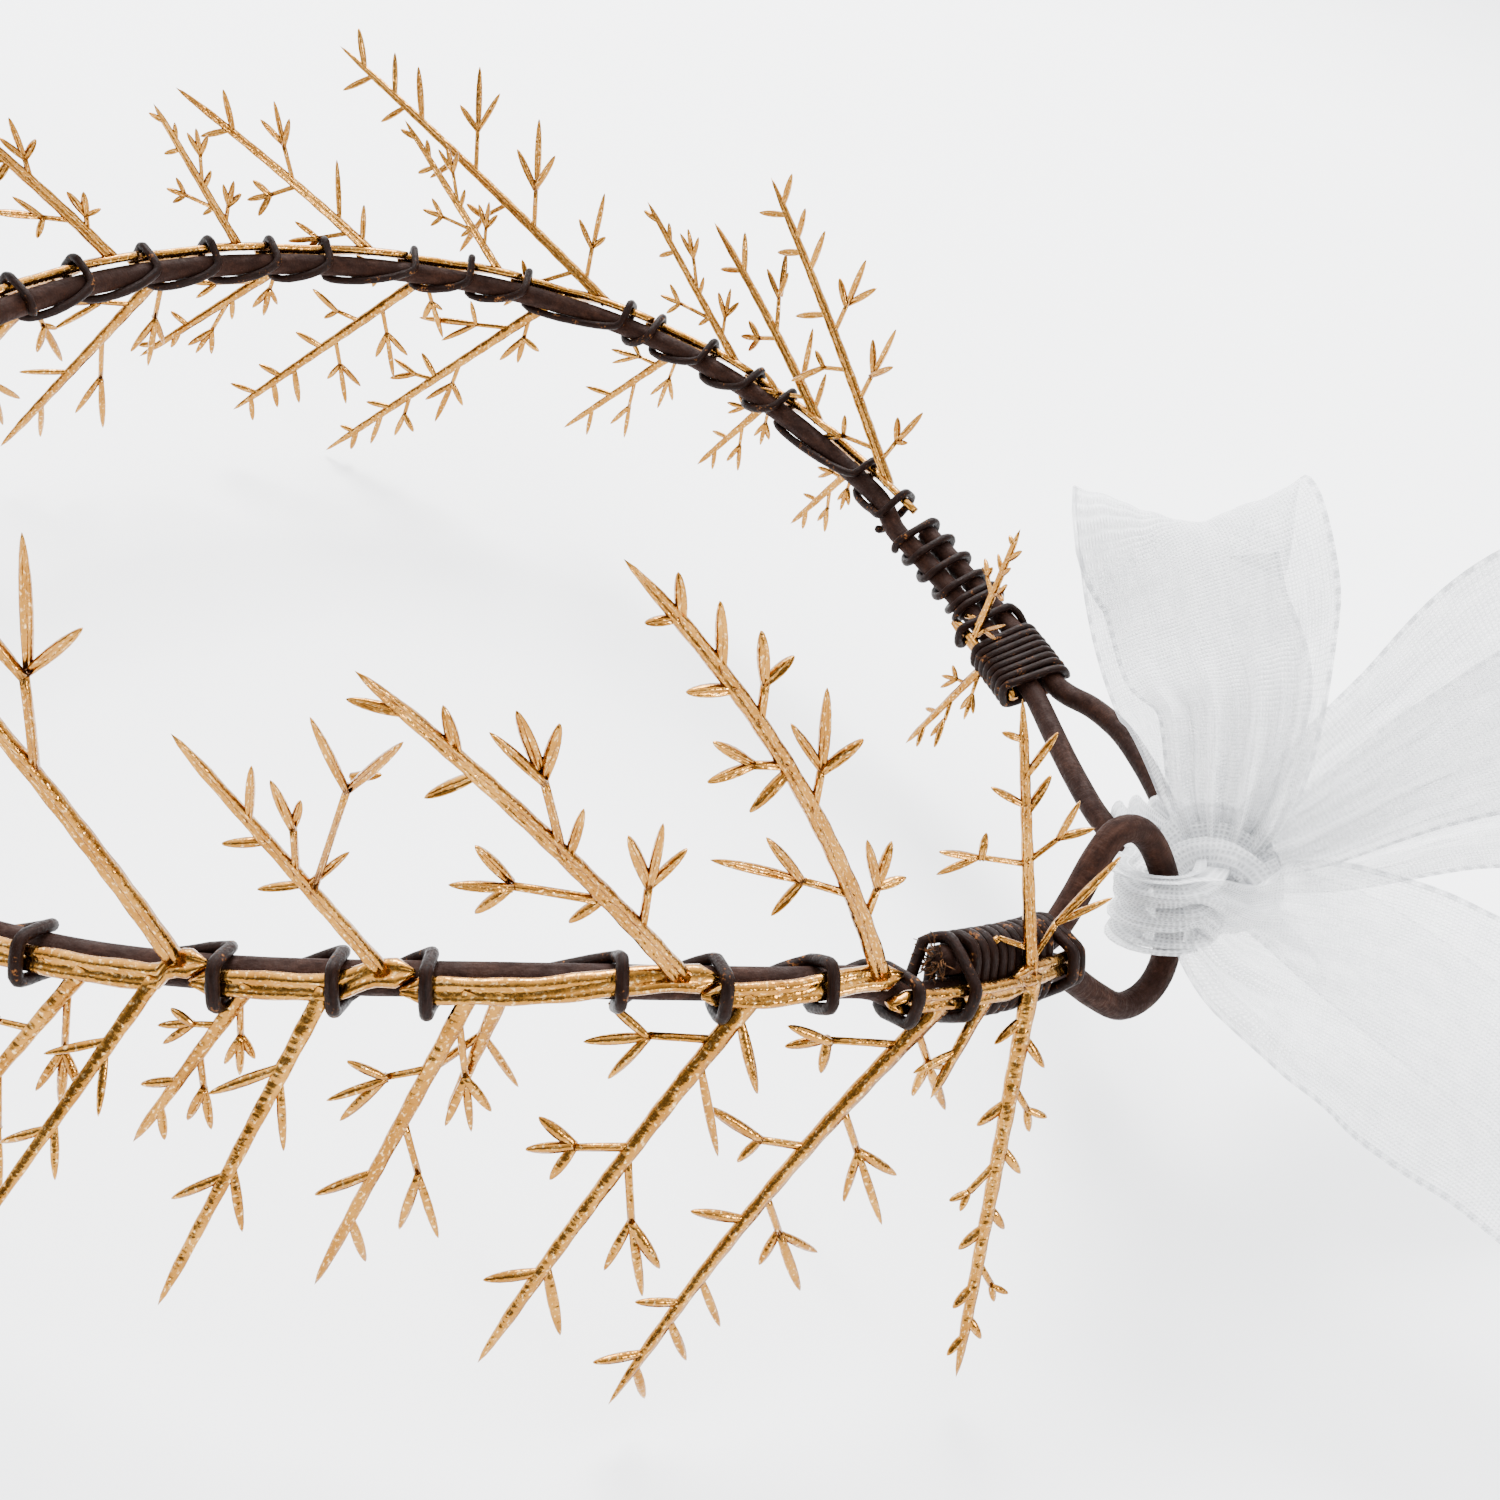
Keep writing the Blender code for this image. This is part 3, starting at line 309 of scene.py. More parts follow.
LEFT_FRONDS = (
    Frond("knot_sprig_left", 31.0, 42.0, (
        Limb(39.2, 0, 89, 22, KNOT_SPRAY, 0, 0, 0),
        Limb(36.0, -60, -71, 22, SPARE_SPRAY, 0, 0, 0),
    ), 203, STEM_OFFSET + PAIR_HALF + 0.3 * MM),
    Frond("sprig_left_01", 58.4, 72.4, (
        Limb(62.4, -12, 44, 55, HANGING_SPRAY, 6, 0, 0),
        Limb(67.8, 2, -62, 22, SPARE_SPRAY, 0, 0, 0),
    )),
    Frond("sprig_left_02", 73.2, 86.0, (
        Limb(75.0, 4, 34, 40, SPLIT_SPRAY, 8, 0, 0),
        Limb(82.0, 2, -60, 24, SPARE_SPRAY, 0, 0, 0),
    )),
    Frond("sprig_left_03", 86.8, 100.0, (
        Limb(88.2, -6, 44, 32, BROAD_SPRAY, 0, 0, 0),
        Limb(95.0, 4, -52, 34, SPARE_SPRAY, 0, 0, 0),
    )),
    Frond("sprig_left_04", 100.8, 116.4, (
        Limb(106.0, 18, 22, 66, HANGING_SPRAY, 4, 0, 0),
        Limb(111.0, 2, -48, 64, TALL_SPRAY, 0, 0, 0),
    )),
    Frond("sprig_left_05", 117.0, 129.0, (
        Limb(118.6, 12, 47, 30, BROAD_SPRAY, 0, 0, 0),
        Limb(125.0, 4, -46, 50, HANGING_SPRAY, 0, 0, 0),
    )),
    Frond("sprig_left_06", 129.8, 144.6, (
        Limb(133.0, 8, 34, 40, SPLIT_SPRAY, 6, 0, 0),
        Limb(140.0, 14, -42, 36, BROAD_SPRAY, 0, 0, 0),
    )),
    Frond("sprig_left_07", 145.2, 159.0, (
        Limb(147.6, 6, 58, 27, BROAD_SPRAY, 0, 0, 0),
        Limb(154.0, 24, -54, 48, SPARE_SPRAY, 0, 0, 0),
    )),
    Frond("sprig_left_08", 159.8, 175.0, (
        Limb(162.0, 12, 44, 42, TALL_SPRAY, 8, 0, 0),
        Limb(169.0, 20, -48, 60, HANGING_SPRAY, 0, 0, 0),
    )),
)
# The angles where a turn of binding wire crosses over the gold stems
RIGHT_WRAPS = (28.8, 33.3, 39.2, 46.3, 53.0, 65.2, 71.0, 78.4, 91.0, 99.6, 108.2, 115.0, 123.2,
               129.8, 138.2, 144.8, 153.2, 160.2, 171.0)
LEFT_WRAPS = (59.6, 66.0, 80.2, 85.2, 92.0, 99.2, 103.0, 115.4, 121.9, 128.2, 138.0, 144.0,
              151.0, 158.2, 166.4, 174.0)
RIGHT_COIL = (18.2, 19.0, 19.8, 20.7, 21.5, 22.4, 23.2, 24.1, 24.9, 25.8, 26.6, 27.4)
LEFT_COIL = (
    31.0, 31.9, 32.8, 33.7, 34.6, 35.5, 36.4, 37.3, 40.6, 43.2, 44.1, 46.2, 49.2, 52.2, 55.0,
)

# Where a coil passes under a stem instead of over it
UNDER_STEM = (19.4, 28.4)
NOWHERE = (0.0, 0.0)


def ring_point(degrees):
    """The middle of the covered wire at this angle, on a ring that is a little oval and wavy."""
    a = math.radians(degrees)
    radius = RING_RADIUS * (1 + RING_OVAL * math.cos(2 * a) + RING_FRONT_FLARE * math.cos(3 * a))
    height = RING_TWIST * math.sin(2 * a)
    height += RING_WAVE_COS * math.cos(3 * a) + RING_WAVE_SIN * math.sin(3 * a)
    return Vector((radius * math.sin(a), radius * math.cos(a), height))


def ring_frame(degrees):
    """Along the wire towards the front, outwards, and up, at this angle."""
    towards_front = 0.5 if degrees > 0 else -0.5
    along = (ring_point(degrees + towards_front) - ring_point(degrees - towards_front)).normalized()
    a = math.radians(degrees)
    out = Vector((math.sin(a), math.cos(a), 0.0))
    out = (out - along * out.dot(along)).normalized()
    up = out.cross(along) if degrees < 0 else along.cross(out)
    return along, out, up


def level_frame(degrees):
    """The same three directions, with the first two level and the third straight up."""
    a = math.radians(degrees)
    side = 1 if degrees > 0 else -1
    return (
        Vector((side * math.cos(a), -side * math.sin(a), 0.0)),
        Vector((math.sin(a), math.cos(a), 0.0)),
        Vector((0.0, 0.0, 1.0)),
    )


def smooth_step(value):
    value = min(max(value, 0.0), 1.0)
    return value * value * (3 - 2 * value)


def smooth_rows(rows, spacing):
    """Rows of numbers along a Catmull-Rom curve through the given ones, about this far apart."""
    rows = np.array(rows, float)
    made = []
    for i in range(len(rows) - 1):
        before, a, b = rows[max(i - 1, 0)], rows[i], rows[i + 1]
        after = rows[min(i + 2, len(rows) - 1)]
        steps = max(1, round(float(np.linalg.norm((b - a)[:3])) / spacing))
        for k in range(steps):
            t = k / steps
            row = 2 * a + (b - before) * t + (2 * before - 5 * a + 4 * b - after) * t * t
            made.append((row + (3 * a - before - 3 * b + after) * t ** 3) / 2)
    made.append(rows[-1])
    return np.array(made)


def smooth_route(points, spacing):
    return [Vector(row) for row in smooth_rows([tuple(point) for point in points], spacing)]


class Skin:
    """A mesh in the making: strips of points with their surface lengths and crossings in mm."""

    def __init__(self):
        self.points = []
        self.faces = []
        self.places = []

    def strip(self, rings, closed=True, across_mm=None):
        """Walls between each ring of points and the next; a closed section also gets its ends."""
        start = len(self.points)
        count = len(rings[0])
        run = 0.0
        runs = []
        for k, ring in enumerate(rings):
            if k:
                middle = sum(ring, Vector()) / count
                run += (middle - sum(rings[k - 1], Vector()) / count).length / MM
            runs.append(run)
            self.points += [tuple(point) for point in ring]
        girth = across_mm
        if girth is None:
            girth = sum((rings[0][i] - rings[0][i - 1]).length for i in range(count)) / MM
        sides = count if closed else count - 1
        for k in range(len(rings) - 1):
            for i in range(sides):
                j = (i + 1) % count
                a, b = start + k * count, start + (k + 1) * count
                self.faces.append((a + i, a + j, b + j, b + i))
                v, w = i / sides * girth, (i + 1) / sides * girth
                self.places.append(((runs[k], v), (runs[k], w), (runs[k + 1], w), (runs[k + 1], v)))
        if closed:
            for k, ring in ((0, range(count)), (len(rings) - 1, reversed(range(count)))):
                self.faces.append(tuple(start + k * count + i for i in ring)[::-1])
                self.places.append(((runs[k], 0.0),) * count)

    def made(self, name, finish):
        mesh = bpy.data.meshes.new(name)
        mesh.from_pydata(self.points, [], self.faces)
        layer = mesh.uv_layers.new(name="surface_mm")
        flat = [value for face in self.places for place in face for value in place]
        layer.data.foreach_set("uv", flat)
        mesh.shade_smooth()
        mesh.materials.append(finish)
        mesh.transform(Matrix.Translation(RING_MIDDLE))
        obj = bpy.data.objects.new(name, mesh)
        bpy.context.scene.collection.objects.link(obj)
        return obj


def tube(skin, route, radius, sides):
    """A round wire along the route; radius is a number, or a function of the place along it."""
    across = None
    rings = []
    for k, place in enumerate(route):
        way = (route[min(k + 1, len(route) - 1)] - route[max(k - 1, 0)]).normalized()
        across = way.orthogonal() if across is None else across
        across = (across - way * across.dot(way)).normalized()
        third = way.cross(across)
        size = radius(k) if callable(radius) else radius
        turns = [2 * math.pi * i / sides for i in range(sides)]
        rings.append([place + (across * math.cos(t) + third * math.sin(t)) * size for t in turns])
    skin.strip(rings)


class End:
    """A folded end of the ring: where it lies, and the two wires that run side by side there."""

    def __init__(self, knot, tail, heading, rise, eyelet):
        self.side = 1 if knot > 0 else -1
        self.knot = knot
        self.tail = tail
        self.heading = Vector(heading).normalized()
        rise = Vector(rise)
        self.rise = (rise - self.heading * rise.dot(self.heading)).normalized()
        self.face = self.heading.cross(self.rise).normalized()
        self.eyelet = eyelet

    def place(self, along, across):
        """A point of the eyelet's own plane, in mm along and across its heading."""
        return ring_point(self.knot) + self.heading * along * MM + self.rise * across * MM

    def paired(self, degrees, share):
        """A point on the doubled stretch: share -1 is the band's wire, 1 its folded tail."""
        return ring_point(degrees) + self.rise * PAIR_HALF * share

    def route(self):
        """From the cut end of the folded tail, round the eyelet, to where the band runs single."""
        tail_end = self.knot + self.side * self.tail
        steps = round(2 * self.tail / WIRE_STEP_DEG)
        route = []
        for k in range(steps + 1):
            route.append(self.paired(tail_end + (self.knot - tail_end) * k / steps, 1))
        route += [self.place(along, across) for along, across in reversed(self.eyelet)]
        route += [
            self.paired(self.knot + self.side * WIRE_STEP_DEG * k / 2, -1)
            for k in range(2 * round(self.tail / WIRE_STEP_DEG) + 2)
        ]
        return route


RIGHT_END = End(17.0, 12.4, (-0.807, 0.585, 0.081), (-0.229, -0.436, 0.871), RIGHT_EYELET)
LEFT_END = End(-30.0, 26.0, (0.80, 0.60, 0.0), (-0.57, 0.73, 0.39), LEFT_EYELET)


def covered_ring(finish):
    """The paper-covered wire: its wrapping steps up a little at each turn and puckers."""
    first = RIGHT_END.knot + RIGHT_END.tail + WIRE_STEP_DEG
    last = 360 + LEFT_END.knot - LEFT_END.tail - WIRE_STEP_DEG
    count = round((last - first) / WIRE_STEP_DEG)
    band = []
    for k in range(count + 1):
        degrees = first + (last - first) * k / count
        band.append(ring_point(degrees if degrees <= 180 else degrees - 360))
    route = smooth_route(RIGHT_END.route() + band + LEFT_END.route()[::-1], 1.0 * MM)
    chance = random.Random("covered wire")
    puckers = [chance.uniform(-1, 1) for _ in route]

    def radius(k):
        lump = sum(puckers[max(k - 3, 0):k + 4]) / 7
        end = smooth_step(min(k, len(route) - 1 - k) / 2 + 0.35)
        return WIRE_RADIUS * (0.985 + 0.03 * lump) * end

    skin = Skin()
    tube(skin, route, radius, 20)
    return skin.made("covered_ring", finish)


def limb_side(frond, limb):
    """Where round the band a limb leaves it, in degrees up from outwards."""
    if frond.side is not None:
        return frond.side
    if limb.rise > 0:
        return RISING_SIDE
    return HANGING_SIDE if limb.out >= 0 else INWARD_SIDE


def stem_side(frond, degrees):
    """Where round the band the stem lies at this angle, easing from limb to limb."""
    stops = [(frond.start, limb_side(frond, frond.limbs[0]))]
    stops += sorted((limb.at, limb_side(frond, limb)) for limb in frond.limbs)
    stops.append((frond.stop, stops[-1][1]))
    for (a, first), (b, second) in zip(stops, stops[1:]):
        if degrees <= b:
            return first + (second - first) * smooth_step((degrees - a) / max(b - a, 0.01))
    return stops[-1][1]


def stem_point(frond, side, degrees):
    """The stem's middle at this angle, the way off the band there, and the way along it."""
    along, outward, up = ring_frame(side * degrees)
    around = math.radians(stem_side(frond, degrees))
    off = outward * math.cos(around) + up * math.sin(around)
    return ring_point(side * degrees) + off * frond.offset, off, along


def section_ring(middle, across, through, half, thick):
    return [middle + across * a * half + through * t * thick for a, t in SECTION]


def bound_stem(skin, frond, side):
    """The strip that lies along the band under its binding."""
    start, stop = frond.start - STEM_LAP_DEG, frond.stop + STEM_LAP_DEG
    count = round((stop - start) / 0.6)
    rings = []
    for k in range(count + 1):
        degrees = start + (stop - start) * k / count
        middle, off, along = stem_point(frond, side, degrees)
        ends = 0.25 + 0.75 * smooth_step(min(k, count - k) / 2)
        half = STEM_HALF_WIDTH * ends * (1 + 0.05 * math.sin(k * 0.9))
        rings.append(section_ring(middle, along.cross(off), off, half, STEM_THICKNESS / 2))
    skin.strip(rings)


class Spray:
    """One limb: its own curved middle line, and its twigs laid out beside that."""

    def __init__(self, limb, base, side, length, chance):
        self.limb = limb
        self.base = base
        self.length = length
        self.chance = chance
        along, outward, up = level_frame(side * limb.at)
        out, rise = math.radians(limb.out), math.radians(limb.rise)
        level = along * math.cos(out) + outward * math.sin(out)
        self.heading = (level * math.cos(rise) + up * math.sin(rise)).normalized()
        facing = (outward - self.heading * outward.dot(self.heading)).normalized()
        across = facing.cross(self.heading)
        across = Quaternion(self.heading, math.radians(limb.twist)) @ across
        self.across = across if across.dot(along) > 0 else -across
        self.through = self.heading.cross(self.across)
        self.curl, self.bow = math.radians(limb.curl), math.radians(limb.bow)

    def frame_at(self, x):
        share = x / self.length
        arc = share * (1 - share) * self.length / 2
        lean = (1 - 2 * share) / 2
        middle = self.base + self.heading * x
        middle -= self.across * self.curl * arc + self.through * self.bow * arc
        way = (self.heading - self.across * self.curl * lean - self.through * self.bow * lean)
        way.normalize()
        width = (self.across - way * self.across.dot(way)).normalized()
        return middle, way, width, way.cross(width)

    def twigs(self):
        """Each straight run: its two flat ends, its kind, and its lean out of the plane."""
        runs = []
        for twig in self.limb.pattern:
            lean = self.chance.uniform(-0.16, 0.24)
            x, y = twig.where * self.length, 0.0
            angle = math.radians(twig.angle)
            reach = twig.neck * self.length
            end = (x + reach * math.cos(angle), y + reach * math.sin(angle))
            if not twig.prongs:
                runs.append(((x, y), end, "blade", lean))
                continue
            runs.append(((x, y), end, "neck", lean))
            for turn, share in twig.prongs:
                way = angle + math.radians(turn)
                tip_x = end[0] + share * self.length * math.cos(way)
                tip_y = end[1] + share * self.length * math.sin(way)
                runs.append((end, (tip_x, tip_y), "blade", lean + self.chance.uniform(-0.1, 0.1)))
        return runs

    def place(self, flat, lean):
        middle, _, width, through = self.frame_at(flat[0])
        return middle + width * flat[1] + through * lean * abs(flat[1])

    def lowest(self):
        places = [self.place(end, 0.0).z for _, end, _, _ in self.twigs()]
        return min(places + [self.frame_at(self.length)[0].z])

    def lay(self, skin):
        size = min(1.0, max(0.78, self.length / (42 * MM)))
        count = round(self.length / (1.2 * MM))
        rings = []
        for k in range(count + 1):
            share = k / count
            middle, _, width, through = self.frame_at(share * self.length)
            half = LIMB_HALF_WIDTH * size * (1 - 0.42 * share)
            end = max((share - 0.86) / 0.14, 0.0)
            half *= max(1 - end ** 2, 0.0) ** 0.5 * (1 - 0.25 * end) + 0.03
            half *= 1 + 0.05 * math.sin(k * 1.7 + self.length * 900)
            rings.append(section_ring(middle, width, through, half, min(0.72 * MM, 0.72 * half)))
        skin.strip(rings)
        for start, end, kind, lean in self.twigs():
            self.lay_run(skin, start, end, kind, lean, size)

    def lay_run(self, skin, start, end, kind, lean, size):
        """A neck or a blade between two flat places, a little turned about itself."""
        a, b = np.array(start), np.array(end)
        turn = self.chance.uniform(-0.8, 0.8)
        widen = self.chance.uniform(0.88, 1.14)
        if kind == "neck":
            shape = [(t, 1.0 - 0.1 * t) for t in (0.0, 0.25, 0.5, 0.75, 1.0)]
            widest = NECK_HALF_WIDTH * size
        else:
            shape = BLADE_SHAPE
            widest = min(BLADE_HALF_WIDTH * size * widen, 0.16 * float(np.linalg.norm(b - a)))
            widest = max(widest, 0.42 * MM)
        rings = []
        for share, wide in shape:
            flat = a + (b - a) * share
            _, way, width, through = self.frame_at(float(flat[0]))
            middle = self.place(flat, lean)
            heading = way * (b - a)[0] + width * (b - a)[1]
            heading = (heading + through * lean * heading.length).normalized()
            across = through.cross(heading).normalized()
            across = Quaternion(heading, turn * share) @ across
            half = widest * wide
            thick = min(0.55 * MM, 0.7 * half + 0.08 * MM)
            rings.append(section_ring(middle, across, heading.cross(across), half, thick))
        skin.strip(rings)


def sprig(frond, side, finish):
    """One gold sprig: its bound stem and its limbs, each cut so its lowest tip is on the table."""
    skin = Skin()
    bound_stem(skin, frond, side)
    for number, limb in enumerate(frond.limbs):
        base, _, _ = stem_point(frond, side, limb.at)
        length = limb.length * MM
        seed = f"{frond.name} {number}"
        spray = Spray(limb, base, side, length, random.Random(seed))
        floor = -STAND_HEIGHT + 0.5 * MM
        while spray.lowest() < floor:
            length *= 0.99 * (base.z - floor) / (base.z - spray.lowest())
            spray = Spray(limb, base, side, length, random.Random(seed))
        spray.chance = random.Random(seed)
        spray.lay(skin)
    return skin.made(frond.name + "_leaves", finish)


def section(end, fronds, degrees, under):
    """What a turn of binding wire goes round at this angle: discs out from and above the middle."""
    _, outward, up = ring_frame(end.side * degrees)
    rise = Vector((end.rise.dot(outward), end.rise.dot(up))) * PAIR_HALF
    pair_stop = abs(end.knot) + end.tail
    apart = 1 - smooth_step((degrees - pair_stop - 2) / 4)
    discs = [(-rise * apart, WIRE_RADIUS)]
    if degrees < pair_stop + 1:
        discs.append((rise, WIRE_RADIUS))
    if under[0] < degrees < under[1]:
        return discs
    for frond in fronds:
        if frond.start - 0.6 < degrees < frond.stop + 0.6:
            around = math.radians(stem_side(frond, degrees))
            off = Vector((math.cos(around), math.sin(around)))
            edge = Vector((-off.y, off.x)) * (STEM_HALF_WIDTH - STEM_THICKNESS / 3)
            discs.append((off * frond.offset + edge, STEM_THICKNESS / 2))
            discs.append((off * frond.offset - edge, STEM_THICKNESS / 2))
    return discs


def winding(name, end, fronds, crossings, under, finish):
    """A winding of thin wire that crosses over the stems squarely and steps on behind them."""
    sides = []
    for degrees in crossings:
        lying = [stem_side(f, degrees) for f in fronds if f.start <= degrees <= f.stop]
        sides.append(math.radians(lying[0] if lying else RISING_SIDE))
    turns = [(crossings[0] - 0.35, crossings[0], sides[0] - math.pi, sides[0], 0.5)]
    for k in range(len(crossings) - 1):
        a, b = sides[k], sides[k + 1] + 2 * math.pi
        turns.append((crossings[k], crossings[k + 1], a, b, 1.0))
    turns.append((crossings[-1], crossings[-1] + 0.35, sides[-1], sides[-1] + math.pi, 0.5))
    route = []
    for first, last, start, stop, share in turns:
        count = round(BINDING_POINTS * share)
        for k in range(count):
            u = k / count
            degrees = first + (last - first) * smooth_step((u - 0.28) / 0.44)
            around = start + (stop - start) * u
            _, outward, up = ring_frame(end.side * degrees)
            way = Vector((math.cos(around), math.sin(around)))
            discs = section(end, fronds, degrees, under)
            reach = [middle.dot(way) + radius for middle, radius in discs]
            weights = [math.exp(far / (0.3 * MM)) for far in reach]
            flat = Vector((0.0, 0.0))
            for (middle, radius), weight in zip(discs, weights):
                flat += (middle + way * (radius + BINDING_RADIUS + GAP)) * weight / sum(weights)
            route.append(ring_point(end.side * degrees) + outward * flat.x + up * flat.y)
    skin = Skin()
    wobble = random.Random(name)
    sizes = [BINDING_RADIUS * wobble.uniform(0.93, 1.05) for _ in route]
    tube(skin, route, lambda k: sizes[k], 12)
    return skin.made(name, finish)


def frayed_end(end, finish):
    """Loose paper fibres at the cut end of the folded wire."""
    chance = random.Random("frayed end")
    stop = end.knot + end.side * end.tail
    cut = end.paired(stop, 1)
    along = (cut - end.paired(stop - end.side, 1)).normalized()
    skin = Skin()
    for _ in range(46):
        spin = chance.uniform(0, 2 * math.pi)
        rim = end.rise * math.cos(spin) + along.cross(end.rise) * math.sin(spin)
        place = cut + rim * WIRE_RADIUS * chance.uniform(0.1, 0.95) - along * 0.4 * MM
        way = (along + rim * chance.uniform(0.1, 1.1)).normalized()
        route = [place]
        for _ in range(5):
            stray = Vector([chance.uniform(-0.6, 0.6) for _ in range(3)])
            way = (way + stray).normalized()
            route.append(route[-1] + way * chance.uniform(0.25, 0.6) * MM)
        tube(skin, smooth_route(route, 0.3 * MM), chance.uniform(0.05, 0.11) * MM, 5)
    return skin.made("frayed_end", finish)


def strap_stations():
    """The ribbon's gathered run from its knot, through one eyelet and the other, and back."""
    right, left = RIGHT_END.place(20.2, 0.5), LEFT_END.place(35.6, 1.4)
    way = (right - left).normalized()

    def around(end, place, inward):
        """A half turn about the far end of an eyelet, from its one side to the other."""
        turns = [math.radians(t) for t in (90, 50, 0, -50, -90)]
        half = [end.face * math.sin(t) - end.heading * math.cos(t) for t in turns]
        half[0] += inward * 0.15
        half[-1] += inward * 0.15
        return [place + way * STRAP_CLEAR for way in half]

    middle = (right + left) / 2
    first = around(RIGHT_END, right, -way)
    second = around(LEFT_END, left, way)[::-1]
    controls = [KNOT, *first, middle - (KNOT - middle) * 0.55, *second, KNOT]
    faces = [RIGHT_END.rise] * (len(first) + 2) + [LEFT_END.rise] * (len(second) + 1)
    widths = [4.0] + [STRAP_WIDTH] * (len(first) + 1 + len(second)) + [4.0]
    return [
        ((place - KNOT) / MM, face, width) for place, face, width in zip(controls, faces, widths)
    ]


def near_tail_stations():
    """The near end comes up through the right eyelet, over its end wire, and spreads out flat."""
    end = RIGHT_END
    wire = end.place(20.2, 0.5)
    stations = []
    for degrees in NEAR_TAIL_TURNS:
        t = math.radians(degrees)
        out = end.face * math.sin(t) - end.heading * math.cos(t)
        place = (wire + out * (STRAP_CLEAR + 0.6 * MM) - KNOT) / MM
        stations.append((place, -end.rise, NEAR_TAIL_GATHER))
    return stations + list(NEAR_TAIL)


def knot_stations():
    """The short band of ribbon wound round the middle of the bow."""
    stations = []
    for k in range(15):
        t = math.radians(30 * k)
        out = 5.6 + 0.05 * k
        place = Vector((0.0, math.cos(t) * out, math.sin(t) * out * 0.95))
        stations.append((place, (1, 0.1, 0.1), 11))
    return stations


def ribbon_run(skin, stations, phase):
    """A run of ribbon: where it is drawn in narrow, its spare width stands in pleats."""
    rows = [(*place, *Vector(across).normalized(), width) for place, across, width in stations]
    rows = smooth_rows(rows, RIBBON_SPACING)
    rings = []
    for k, row in enumerate(rows):
        place, width = KNOT + Vector(row[:3]) * MM, row[6]
        ahead = Vector(rows[min(k + 1, len(rows) - 1)][:3])
        way = (ahead - Vector(rows[max(k - 1, 0)][:3])).normalized()
        across = Vector(row[3:6])
        across = (across - way * across.dot(way)).normalized()
        through = way.cross(across)
        calm = 1 - 0.8 * smooth_step((width - 17) / 12)
        spare = math.sqrt(max(RIBBON_WIDTH ** 2 - width ** 2, 0.0)) / (4 * RIBBON_PLEATS)
        ring = []
        for i in range(RIBBON_POINTS + 1):
            share = i / RIBBON_POINTS - 0.5
            pleat = math.sin(2 * math.pi * (RIBBON_PLEATS * share + phase + 0.012 * k))
            fine = RIBBON_PLEATS * 2.3 * share + 2 * phase + 0.006 * k
            pleat += 0.55 * math.sin(2 * math.pi * fine)
            roll = 0.5 * math.sin(2 * math.pi * (share * 0.8 + phase) + k * 0.06)
            height = calm * min(0.6 * spare, 1.7) * pleat + roll * min(width / RIBBON_WIDTH, 1.0)
            ring.append(place + (across * share * width + through * height) * MM)
        rings.append(ring)
    skin.strip(rings, closed=False, across_mm=RIBBON_WIDTH)
    middle = [ring[RIBBON_POINTS // 2] for ring in rings]
    return sum((b - a).length for a, b in zip(middle, middle[1:]))


def sheer_ribbon(finish):
    skin = Skin()
    near_tail, strap, knot = near_tail_stations(), strap_stations(), knot_stations()
    runs = (UPRIGHT_LOOP, SIDE_LOOP, near_tail, FAR_TAIL, strap, knot)
    length = sum(ribbon_run(skin, stations, 0.17 * k) for k, stations in enumerate(runs))
    return skin.made("sheer_ribbon", finish), length


def socket(tree, name, kind, way, value=None):
    made = tree.interface.new_socket(name=name, in_out=way, socket_type=kind)
    if value is not None:
        made.default_value = value
    return made


def group(name, inputs, outputs):
    """A new node group with number inputs, and its two end nodes."""
    tree = bpy.data.node_groups.new(name, "ShaderNodeTree")
    socket(tree, "Surface", "NodeSocketVector", "INPUT")
    for key, value in inputs:
        socket(tree, key, "NodeSocketFloat", "INPUT", value)
    for key in outputs:
        socket(tree, key, "NodeSocketFloat", "OUTPUT")
    return tree, tree.nodes.new("NodeGroupInput"), tree.nodes.new("NodeGroupOutput")


def maths(tree, operation, first, second=None, third=None):
    node = tree.nodes.new("ShaderNodeMath")
    node.operation = operation
    for slot, value in enumerate((first, second, third)):
        if value is None:
            continue
        if isinstance(value, (int, float)):
            node.inputs[slot].default_value = value
        else:
            tree.links.new(value, node.inputs[slot])
    return node.outputs[0]


def noise(tree, vector, scale, detail=3.0, roughness=0.55):
    node = tree.nodes.new("ShaderNodeTexNoise")
    node.inputs["Detail"].default_value = detail
    node.inputs["Roughness"].default_value = roughness
    tree.links.new(vector, node.inputs["Vector"])
    if isinstance(scale, (int, float)):
        node.inputs["Scale"].default_value = scale
    else:
        tree.links.new(scale, node.inputs["Scale"])
    return node.outputs["Fac"]


def stretched(tree, vector, x, y, z=1.0):
    node = tree.nodes.new("ShaderNodeMapping")
    node.inputs["Scale"].default_value = (x, y, z)
    tree.links.new(vector, node.inputs["Vector"])
    return node.outputs[0]


def spread(tree, value, low, high, bottom=0.0, top=1.0):
    node = tree.nodes.new("ShaderNodeMapRange")
    node.inputs["From Min"].default_value = low
    node.inputs["From Max"].default_value = high
    node.inputs["To Min"].default_value = bottom
    node.inputs["To Max"].default_value = top
    tree.links.new(value, node.inputs["Value"])
    return node.outputs[0]


def rubbed_patches():
    """Soft patches of rubbed or aged finish, and of painted shade and light: a mask from none to
    full.
    """
    tree, given, out = group("rubbed_patches", (("Scale", 300.0),), ("Mask", "Fine"))
    wide = noise(tree, given.outputs["Surface"], given.outputs["Scale"], 5.0, 0.62)
    tree.links.new(spread(tree, wide, 0.42, 0.66), out.inputs["Mask"])
    fine = noise(tree, given.outputs["Surface"], 2600.0, 2.0)
    tree.links.new(spread(tree, fine, 0.3, 0.7), out.inputs["Fine"])
    return tree


